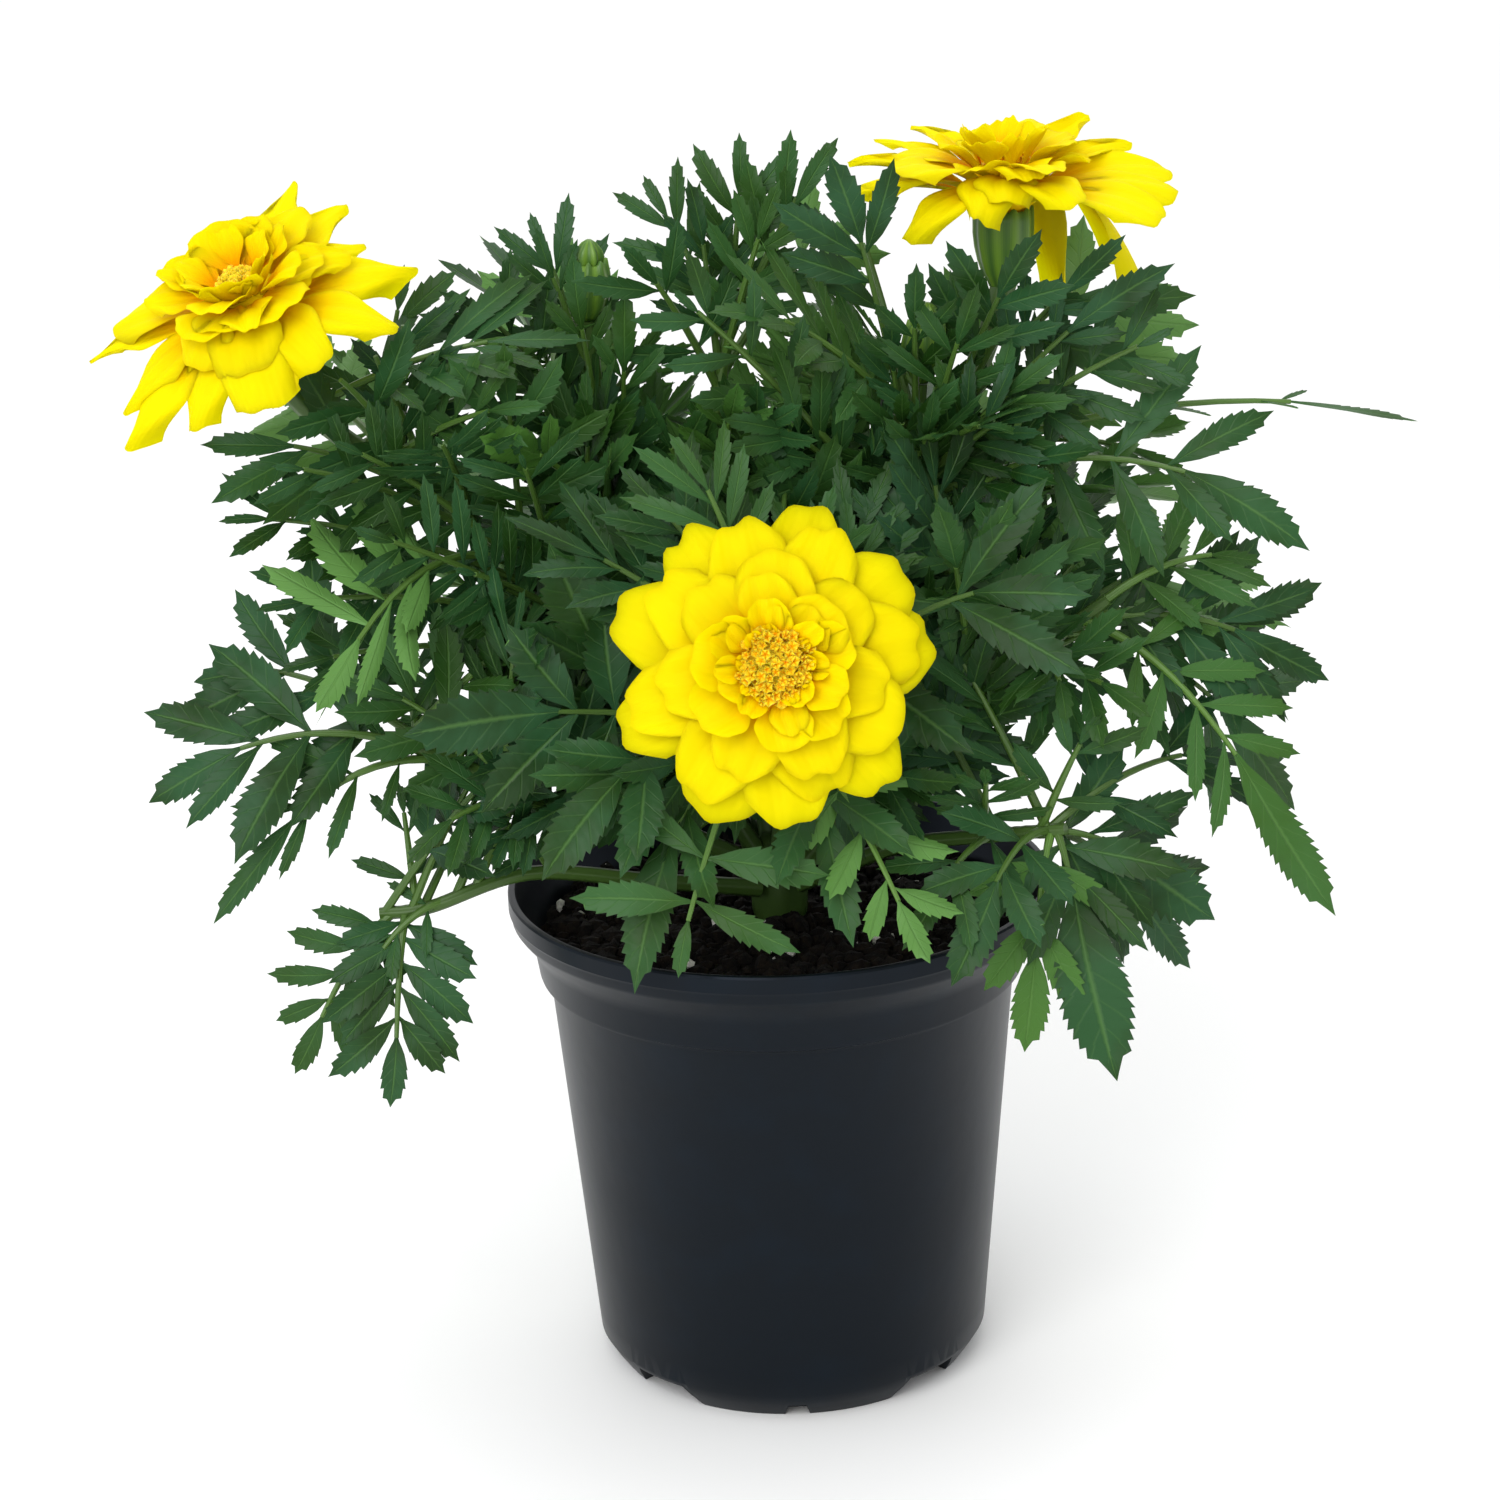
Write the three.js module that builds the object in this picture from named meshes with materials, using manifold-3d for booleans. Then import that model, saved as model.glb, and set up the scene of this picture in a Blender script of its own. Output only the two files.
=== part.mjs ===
// A French marigold in flower, in a round thin-walled plastic nursery pot.
// Millimetres, +Z up, the middle of the pot's flat base at the origin, the fullest side towards -Y.

import * as THREE from "three";
import { mergeVertices } from "three/addons/utils/BufferGeometryUtils.js";
import Module from "manifold-3d";

const wasm = await Module();
wasm.setup();

// Driving sizes of the pot
const potHeight = 103;
const rimRadius = 55.2;
const lipHeight = 3.5;
const collarRadius = 50.3;
const collarBottom = 85;
const bodyTopRadius = 47.3;
const bodyFootRadius = 40.3;
const footRadius = 36.6;
const footHeight = 6;
const wall = 1.3;
const floorThickness = 1.4;
const potSides = 28;

// Notches pressed into the foot: four wide ones and four small ones between them
const wideNotch = { width: 18, crown: 12.5, height: 5, inner: 26, turn: Math.PI / 4 };
const smallNotch = { width: 5.6, crown: 3.6, height: 3, inner: 33, turn: 0 };
const drainRadius = 3;

// Soil
const soilTop = 93.4;
const soilBump = 1.3;
const soilSides = 14;

// Crown: the short thick stem that all the leafy stems grow from
const crown = { foot: [0, 4, 80], top: [0, 4, 111], radius: 5.2 };

// Clearances between pieces that touch, and how far fused pieces sink into each other
const seatGap = 0.35;
const sink = 0.1;
const smallestDetail = 0.12;
const smallestScrap = 4;

// Leaf blades
const bladeThickness = 0.9;
const leafletSlim = 0.25;
const firstPair = 0.24;
const lastPair = 0.58;
const leafletShare = 0.37;
const leafletBase = 1.3;
const stemSides = 5;

// Flower heads, measured from the plane where the petals leave the calyx
const calyx = { height: 17, radius: 5.9, neck: 2.7, sides: 10 };
const core = { radius: 7.2, height: 7.4, stalk: 4.6, sides: 8 };
const petalThickness = 0.8;
const petalStart = 4.2;
const discFlorets = 7;

// Whorls of petals from the outside in
const whorls = [
  { count: 9, reach: 31.5, width: 17.0, root: 0.0, rise: 0.8, droop: 3.0 },
  { count: 8, reach: 27.5, width: 15.0, root: 1.8, rise: 2.2, droop: 2.4 },
  { count: 7, reach: 22.5, width: 13.5, root: 3.4, rise: 3.6, droop: 1.8 },
  { count: 7, reach: 17.5, width: 10.5, root: 4.8, rise: 4.8, droop: 1.0 },
  { count: 6, reach: 13.0, width: 8.0, root: 5.9, rise: 5.0, droop: 0.4 },
];

// Loose outer petals of the two heads seen from the side, measured about the head's axis:
// turn in degrees, reach, height of the tip over the petals' plane, width, arch
const leftPetals = [
  [75, 34, 6, 11, 0.05],
  [45, 30, 2, 11, 0.1],
  [28, 26, 1, 11, 0.12],
  [5, 32, -2, 13, 0.1],
  [-28, 32, -1, 13, 0.1],
  [-52, 25, 0, 13, 0.12],
  [-72, 27, -4, 13, 0.12],
  [-90, 26, -1, 14, 0.12],
  [-88, 21, 2, 16, 0.14],
  [-120, 28, -6, 13, 0.12],
  [-125, 18, 3, 12, 0.14],
  [-140, 34, -8, 14, 0.12],
  [-155, 31, -4, 12, 0.12],
  [177, 35, -3, 13, 0.1],
  [163, 27, 1, 15, 0.12],
  [138, 26, 1, 11, 0.1],
  [112, 22, 3, 13, 0.1],
  [88, 22, 4, 15, 0.1],
  [10, 21, 3, 12, 0.14],
];
const rightPetals = [
  [15, 35, 4, 13, 0.1],
  [-8, 33, 0, 12, 0.1],
  [-32, 35, 0, 16, 0.1],
  [-38, 31, -12, 12, 0.2],
  [30, 19, -21, 12, 0.3],
  [33, 31, 9, 11, 0.1],
  [52, 28, 13, 11, 0.05],
  [75, 25, 12, 14, 0.1],
  [102, 25, 10, 12, 0.1],
  [122, 29, 11, 12, 0.1],
  [140, 30, 9, 12, 0.1],
  [155, 33, 6, 11, 0.1],
  [180, 31, 2, 12, 0.1],
  [-160, 32, 5, 12, 0.1],
  [-148, 26, 8, 14, 0.12],
  [-132, 29, -2, 13, 0.14],
  [-110, 24, -1, 12, 0.16],
  [-90, 24, -1, 14, 0.12],
  [-62, 30, 0, 14, 0.12],
  [-75, 19, 7, 12, 0.16],
];

// Flower heads: centre of the petals and the way the head looks. A loose head has its own outer
// petals round the inner whorls, which rise by more the less the flower has opened.
const heads = [
  { name: "front", centre: [0, -58, 166], looks: [0, -0.947, 0.322], seed: 11 },
  {
    name: "left",
    centre: [-98, -6, 224],
    looks: [-0.24, -0.4, 0.885],
    seed: 47,
    loose: leftPetals,
    innerRise: 2,
  },
  {
    name: "right",
    centre: [48.5, 17, 236.5],
    looks: [0.02, 0.05, 1],
    seed: 83,
    loose: rightPetals,
    innerRise: 2,
  },
];
const innerWhorls = 3;

// Flower buds: foot of the bud and the way it points
const bud = { height: 14, radius: 4.4, neck: 1.6, sides: 10, tip: 5.5 };
const buds = [
  { name: "middle", foot: [31, 5, 204], looks: [0.1, -0.1, 1] },
  { name: "top", foot: [-34, 13, 217], looks: [0.05, -0.1, 1] },
];

// Leafy stems. A route is a list of points from the crown outwards; radii are at its foot,
// middle and end. A leaf is: its place along the stem, its tip, its pairs of leaflets, how far
// the blade turns from lying flat to facing the stem's open side, and how high it arches.
// A turn below 0 shows the underside. Some leaves have their own places for the first and last
// pair and their own length of leaflet.
const toFront = [0, -1, 0];
const toBack = [0, 1, 0];
const leafyStems = [
  {
    name: "left_bloom",
    route: [[-3, 2, 106], [-28, 4, 145], [-58, 2, 178], [-84, 0, 199], [-92.9, -0.7, 208.7]],
    radii: [2.0, 1.6, 2.6],
    faces: toFront,
    leaves: [
      [0.52, [-109, -14, 206], 3, 0.6, 0.1],
      [0.58, [-88, -30, 222], 3, 0.75, 0.1],
      [0.42, [-50, -14, 219], 3, 0.75, 0.05],
      [0.42, [-86, -56, 152], 3, -0.5, 0.22, { first: 0.56, last: 0.78, leaflet: 20 }],
      [0.66, [-69, 16, 229], 3, 0.7, 0.1],
      [0.62, [-102, 40, 196], 3, -0.6, 0.15],
    ],
  },
  {
    name: "right_bloom",
    route: [[4, 4, 106], [16, 2, 145], [28, 2, 180], [42, 12, 203], [48.7, 16.3, 221.5]],
    radii: [2.2, 1.8, 2.6],
    faces: toFront,
    leaves: [
      [0.49, [106, -22, 177], 3, 0.7, 0.16, { first: 0.36, last: 0.64, leaflet: 24 }],
      [0.46, [-17, -22, 230], 3, 0.75, 0.04],
      [0.66, [54, -6, 236], 3, 0.8, 0.04],
      [0.6, [76, 2, 232], 3, 0.75, 0.08],
      [0.56, [131, 12, 191], 3, 0.1, 0.08, { leaflet: 15 }],
      [0.6, [84, 44, 212], 3, -0.6, 0.14],
    ],
  },
  {
    name: "front_bloom",
    route: [[0, 0, 106], [2, -10, 124], [2, -21, 141], [1, -31, 154], [0, -41.9, 160.5]],
    radii: [2.2, 1.9, 2.6],
    faces: toFront,
    leaves: [
      [0.55, [60, -48, 176], 2, 0.7, 0.14],
      [0.3, [-32, -60, 104], 2, 0.35, 0.3],
      [0.36, [12, -62, 112], 2, 0.4, 0.3],
    ],
  },
  {
    name: "top",
    route: [[-1, 6, 106], [-8, 12, 150], [-10, 14, 190], [-5, 14, 222]],
    radii: [2.2, 1.6, 1.1],
    faces: toFront,
    leaves: [
      [0.92, [-2, 14, 253], 3, 0.85, 0],
      [0.88, [-23, 20, 244], 3, 0.8, 0.08],
      [0.86, [16, 12, 252], 3, 0.8, 0.06],
      [0.78, [-26, -8, 236], 2, 0.7, 0.06],
      [0.6, [6, -24, 206], 3, 0.8, 0.06],
      [0.8, [22, 44, 230], 3, -0.7, 0.1],
    ],
  },
  {
    name: "top_left",
    route: [[-5, 8, 106], [-20, 14, 145], [-31, 16, 180], [-34, 13, 216.6]],
    radii: [2.0, 1.5, 1.4],
    faces: toFront,
    leaves: [
      [0.86, [-46, 22, 237], 3, 0.8, 0.08],
      [0.76, [-62, 6, 226], 3, 0.8, 0.08],
      [0.6, [-36, -14, 208], 3, 0.8, 0.05],
      [0.74, [-50, 48, 222], 3, -0.7, 0.1],
    ],
  },
  {
    name: "middle_bud",
    route: [[8, 8, 106], [20, 10, 150], [29, 8, 182], [31, 5, 203.6]],
    radii: [1.8, 1.4, 1.4],
    faces: toFront,
    leaves: [
      [0.8, [16, 18, 246], 3, 0.8, 0.06],
      [0.6, [26, -20, 208], 2, 0.8, 0.06],
      [0.5, [56, 38, 190], 3, -0.5, 0.12],
    ],
  },
  {
    name: "low_left",
    route: [[-4, -1, 101], [-26, -8, 106], [-50, -12, 110], [-70, -16, 105], [-80, -16, 104]],
    radii: [1.9, 1.5, 1.2],
    faces: toFront,
    leaves: [
      [0.92, [-98, -24, 72], 3, 0.7, 0.12],
      [0.85, [-78, -32, 68], 3, 0.7, 0.16],
      [0.8, [-75, -10, 130], 2, 0.7, 0.05],
    ],
  },
  {
    name: "middle_left",
    route: [[-4, 0, 105], [-22, -8, 117], [-43, -14, 124], [-60, -17, 134], [-74, -20, 142]],
    radii: [2.2, 1.7, 1.3],
    faces: toFront,
    leaves: [
      [0.92, [-124, -24, 132], 3, 0.6, 0.14],
      [0.86, [-116, -6, 152], 3, 0.6, 0.14],
      [0.8, [-111, -36, 110], 3, 0.5, 0.2],
      [0.52, [-73, -36, 122], 3, 0.6, 0.16],
      [0.26, [-41, -44, 186], 3, 0.85, 0.04],
    ],
  },
  {
    name: "right",
    route: [[5, 0, 105], [28, -6, 134], [50, -10, 151], [66, -12, 163]],
    radii: [2.1, 1.6, 1.2],
    faces: toFront,
    leaves: [
      [0.88, [107, -36, 102], 4, 0.5, 0.16],
      [0.95, [98, -6, 168], 3, 0.6, 0.14],
      [0.8, [110, -12, 143], 3, 0.6, 0.16],
      [0.6, [72, -40, 148], 3, 0.7, 0.1],
      [0.55, [52, -30, 188], 3, 0.8, 0.05],
      [0.75, [102, 34, 150], 3, -0.4, 0.15],
    ],
  },
  {
    name: "low_right",
    route: [[4, -2, 102], [24, -12, 113], [44, -24, 119], [56, -30, 122]],
    radii: [1.9, 1.5, 1.2],
    faces: toFront,
    leaves: [
      [0.95, [62, -48, 75], 2, 0.75, 0.12, { first: 0.14, last: 0.28, leaflet: 22 }],
      [0.88, [86, -30, 100], 2, 0.7, 0.14, { first: 0.14, last: 0.28, leaflet: 20 }],
      [0.78, [82, -10, 82], 3, 0.6, 0.18],
      [0.72, [24, -58, 108], 2, 0.65, 0.18],
      [0.85, [62, -36, 148], 2, 0.8, 0.04],
      [0.9, [94, -14, 130], 2, 0.5, 0.14],
    ],
  },
];

// Stems on the far side, with leaves set out by a rule instead of one by one
const backStems = [
  { name: "back_left", end: [-42, 46, 186], bend: [-28, 28, 140], leaves: 4, seed: 21 },
  { name: "back_right", end: [42, 48, 182], bend: [30, 30, 138], leaves: 4, seed: 34 },
  { name: "back_middle", end: [0, 56, 148], bend: [1, 34, 132], leaves: 3, seed: 55 },
];
const backLeaf = { first: 0.45, length: 58, pairs: 2, spread: 1.0 };
const backStemRadii = [2.0, 1.6, 1.1];

// A fraction from 0 to 1 that is always the same for the same number
function chance(number) {
  const value = Math.sin(number * 12.9898) * 43758.5453;
  return value - Math.floor(value);
}

function between(low, high, number) {
  return low + (high - low) * chance(number);
}

function vector(point) {
  return new THREE.Vector3(point[0], point[1], point[2]);
}

// The point reached from a start by steps along three directions
function offset(start, a, da, b, db, c, dc) {
  return start.clone().addScaledVector(a, da).addScaledVector(b, db).addScaledVector(c, dc);
}

// Solids and geometry

function solidFromGeometry(geometry) {
  const bare = geometry.index ? geometry.toNonIndexed() : geometry.clone();
  bare.deleteAttribute("normal");
  bare.deleteAttribute("uv");
  const merged = mergeVertices(bare, 1e-4);
  return solidFromArrays(merged.attributes.position.array, merged.index.array);
}

function solidFromArrays(positions, triangles) {
  return new wasm.Manifold(
    new wasm.Mesh({
      numProp: 3,
      vertProperties: new Float32Array(positions),
      triVerts: new Uint32Array(triangles),
    })
  );
}

function solidFromPoints(points, triangles) {
  return solidFromArrays(points.flatMap((p) => [p.x, p.y, p.z]), triangles.flat());
}

function geometryFromSolid(solid) {
  const mesh = solid.getMesh();
  const geometry = new THREE.BufferGeometry();
  const positions = new Float32Array(mesh.numVert * 3);
  for (let i = 0; i < mesh.numVert; i++) {
    positions.set(mesh.vertProperties.subarray(i * mesh.numProp, i * mesh.numProp + 3), i * 3);
  }
  geometry.setAttribute("position", new THREE.BufferAttribute(positions, 3));
  geometry.setIndex(new THREE.BufferAttribute(new Uint32Array(mesh.triVerts), 1));
  geometry.computeVertexNormals();
  return geometry;
}

function joined(solids) {
  return solids.reduce((all, one) => all.add(one));
}

// The solid together with a copy whose vertices are moved out along their normals
function grown(solid, distance) {
  const geometry = geometryFromSolid(solid);
  const position = geometry.attributes.position;
  const normal = geometry.attributes.normal;
  for (let i = 0; i < position.count; i++) {
    position.setXYZ(
      i,
      position.getX(i) + normal.getX(i) * distance,
      position.getY(i) + normal.getY(i) * distance,
      position.getZ(i) + normal.getZ(i) * distance
    );
  }
  return solid.add(solidFromArrays(position.array, geometry.index.array));
}

function boxesMeet(a, b, margin) {
  const one = a.boundingBox();
  const two = b.boundingBox();
  return [0, 1, 2].every(
    (k) => one.min[k] - margin < two.max[k] && two.min[k] - margin < one.max[k]
  );
}

// A closed tube along points, its radius given at every point
function tube(points, radii, sides) {
  const normals = [];
  const binormals = [];
  let normal = null;
  points.forEach((point, i) => {
    const ahead = points[Math.min(i + 1, points.length - 1)];
    const behind = points[Math.max(i - 1, 0)];
    const along = ahead.clone().sub(behind).normalize();
    if (normal === null) {
      const helper = Math.abs(along.z) < 0.9 ? vector([0, 0, 1]) : vector([1, 0, 0]);
      normal = helper.cross(along).normalize();
    }
    normal = normal.clone().addScaledVector(along, -normal.dot(along)).normalize();
    normals.push(normal);
    binormals.push(along.clone().cross(normal));
  });
  const vertices = [];
  const triangles = [];
  points.forEach((point, i) => {
    for (let j = 0; j < sides; j++) {
      const angle = (2 * Math.PI * j) / sides;
      const out = normals[i].clone().multiplyScalar(Math.cos(angle) * radii[i]);
      out.addScaledVector(binormals[i], Math.sin(angle) * radii[i]);
      vertices.push(point.clone().add(out));
    }
  });
  for (let i = 0; i + 1 < points.length; i++) {
    for (let j = 0; j < sides; j++) {
      const a = i * sides + j;
      const b = i * sides + ((j + 1) % sides);
      triangles.push([a, b, b + sides], [a, b + sides, a + sides]);
    }
  }
  const last = (points.length - 1) * sides;
  for (let j = 1; j + 1 < sides; j++) {
    triangles.push([0, j + 1, j], [last, last + j, last + j + 1]);
  }
  return solidFromPoints(vertices, triangles);
}

// A closed turned solid about Z from [radius, z] points that start and end on the axis
function turned(profile, sides, ridge = 0) {
  const points = profile.map(([radius, z]) => new THREE.Vector2(radius, z));
  const geometry = new THREE.LatheGeometry(points, sides);
  geometry.rotateX(Math.PI / 2);
  const position = geometry.attributes.position;
  for (let i = 0; i < position.count && ridge > 0; i++) {
    const angle = Math.atan2(position.getY(i), position.getX(i));
    const swell = 1 + ridge * Math.cos((angle * sides) / 2);
    position.setXY(i, position.getX(i) * swell, position.getY(i) * swell);
  }
  return solidFromGeometry(geometry);
}

// Turns a solid so that its Z axis looks along a direction, and moves it to a place
function placed(solid, place, looks) {
  const turn = new THREE.Quaternion().setFromUnitVectors(
    vector([0, 0, 1]),
    vector(looks).normalize()
  );
  const matrix = new THREE.Matrix4().compose(vector(place), turn, vector([1, 1, 1]));
  return solid.transform(matrix.elements);
}

// Pot

const outerProfile = [
  [0, 0],
  [footRadius, 0],
  [bodyFootRadius, footHeight],
  [bodyTopRadius, collarBottom - 1.2],
  [bodyTopRadius + 2, collarBottom],
  [collarRadius, potHeight - 12],
  [rimRadius - 1.2, potHeight - lipHeight - 3],
  [rimRadius, potHeight - lipHeight],
  [rimRadius, potHeight],
];

const innerProfile = [
  [0, floorThickness],
  [footRadius + 0.6, floorThickness],
  [bodyFootRadius - wall, footHeight],
  [bodyTopRadius - wall, collarBottom],
  [collarRadius - wall, potHeight - 11.4],
  [rimRadius - wall - 1.2, potHeight - lipHeight - 2],
  [rimRadius - wall - 0.4, potHeight],
];

// Radius of the pot's inner wall at a height
function innerRadius(height) {
  for (let i = 1; i < innerProfile.length; i++) {
    const [r0, z0] = innerProfile[i - 1];
    const [r1, z1] = innerProfile[i];
    if (height <= z1 && z1 > z0) {
      return r0 + ((r1 - r0) * (height - z0)) / (z1 - z0);
    }
  }
  return innerProfile[innerProfile.length - 1][0];
}

// A notch's block: a flat-topped wedge pointing outwards from the axis, swollen by a margin
function notchBlock(notch, margin, index) {
  const half = notch.width / 2 + margin;
  const halfCrown = notch.crown / 2 + margin;
  const shape = new THREE.Shape();
  shape.moveTo(-half, margin > 0 ? 0 : -1);
  shape.lineTo(half, margin > 0 ? 0 : -1);
  shape.lineTo(halfCrown, notch.height + margin);
  shape.lineTo(-halfCrown, notch.height + margin);
  shape.closePath();
  const geometry = new THREE.ExtrudeGeometry(shape, {
    depth: rimRadius - notch.inner + margin,
    bevelEnabled: false,
  });
  geometry.rotateX(Math.PI / 2);
  geometry.rotateZ(Math.PI);
  geometry.translate(0, notch.inner - margin, 0);
  geometry.rotateZ(notch.turn + (index * Math.PI) / 2);
  return solidFromGeometry(geometry);
}

function makePot() {
  const outer = turned([...outerProfile, [0, potHeight]], potSides);
  const overTop = [innerProfile[innerProfile.length - 1][0], potHeight + 1];
  const cavity = turned([...innerProfile, overTop, [0, potHeight + 1]], potSides);
  let pot = outer.subtract(cavity);
  for (let index = 0; index < 4; index++) {
    pot = pot.add(notchBlock(wideNotch, wall, index).intersect(outer));
  }
  for (let index = 0; index < 4; index++) {
    for (const notch of [wideNotch, smallNotch]) {
      pot = pot.subtract(notchBlock(notch, 0, index));
    }
    const drain = new THREE.CylinderGeometry(drainRadius, drainRadius, 4 * wall, 10);
    drain.rotateX(Math.PI / 2);
    drain.translate(0, wideNotch.inner + drainRadius + 1.5, wideNotch.height + wall);
    drain.rotateZ(wideNotch.turn + (index * Math.PI) / 2);
    pot = pot.subtract(solidFromGeometry(drain));
  }
  return pot;
}

// Soil: a filled pot of crumbly soil with a hole for the crown

function makeSoil() {
  const foot = wideNotch.height + wall + seatGap;
  const rings = [8, 15, 22, 29, 36, 43];
  const vertices = [vector([0, 0, soilTop])];
  const around = (radius, height, j) => {
    const angle = (2 * Math.PI * j) / soilSides;
    return vector([radius * Math.cos(angle), radius * Math.sin(angle), height]);
  };
  rings.forEach((radius, i) => {
    for (let j = 0; j < soilSides; j++) {
      vertices.push(around(radius, soilTop + between(-soilBump, soilBump, i * 97 + j), j));
    }
  });
  const edge = soilTop - 1;
  const levels = [edge, collarBottom, foot];
  for (const level of levels) {
    for (let j = 0; j < soilSides; j++) {
      vertices.push(around(innerRadius(level) - seatGap, level, j));
    }
  }
  vertices.push(vector([0, 0, foot]));
  const bands = rings.length + levels.length;
  const triangles = [];
  for (let j = 0; j < soilSides; j++) {
    const next = (j + 1) % soilSides;
    triangles.push([0, 1 + j, 1 + next]);
    for (let i = 0; i + 1 < bands; i++) {
      const a = 1 + i * soilSides + j;
      const b = 1 + i * soilSides + next;
      triangles.push([a, a + soilSides, b + soilSides], [a, b + soilSides, b]);
    }
    const rim = 1 + (bands - 1) * soilSides;
    triangles.push([vertices.length - 1, rim + next, rim + j]);
  }
  return solidFromPoints(vertices, triangles);
}

function makeCrown() {
  const foot = vector(crown.foot);
  const top = vector(crown.top);
  const steps = [0, 0.35, 0.6, 0.8, 0.93, 1];
  const radii = [0.7, 0.9, 1, 1.04, 0.9, 0.6].map((share) => share * crown.radius);
  return tube(steps.map((s) => foot.clone().lerp(top, s)), radii, 10);
}

// Leaves: each is one closed blade. The rib is three-sided, and every leaflet is a fan of
// triangles about a raised point above and a lowered point below, cut to the rib.

// Frames along a leaf's rib: place, along, up and across
function ribFrames(root, tip, hint, lean, arch) {
  const span = root.distanceTo(tip);
  const middle = root.clone().add(tip).multiplyScalar(0.5);
  middle.z += 2 * arch * span;
  return (s) => {
    const place = root.clone().multiplyScalar((1 - s) ** 2);
    place.addScaledVector(middle, 2 * s * (1 - s)).addScaledVector(tip, s * s);
    const along = middle.clone().sub(root).multiplyScalar(1 - s);
    along.addScaledVector(tip.clone().sub(middle), s).normalize();
    const up = hint.clone().addScaledVector(along, -hint.dot(along)).normalize();
    if (lean < 0) up.negate();
    const across = along.clone().cross(up);
    return { place, along, up, across };
  };
}

// Outline of a leaflet from the base corner nearer the stem round the tip to the other one:
// u runs along the leaflet and v across it, each as a share of its length and width
const leafletOutline = [
  { u: 0.5, v: -0.52 },
  { u: 0.58, v: -0.3 },
  { u: 1, v: 0 },
  { u: 0.42, v: 0.5 },
];
const endOutline = [
  { u: 0.46, v: -0.52 },
  { u: 0.54, v: -0.3 },
  { u: 1, v: 0 },
  { u: 0.44, v: 0.5 },
];

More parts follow.
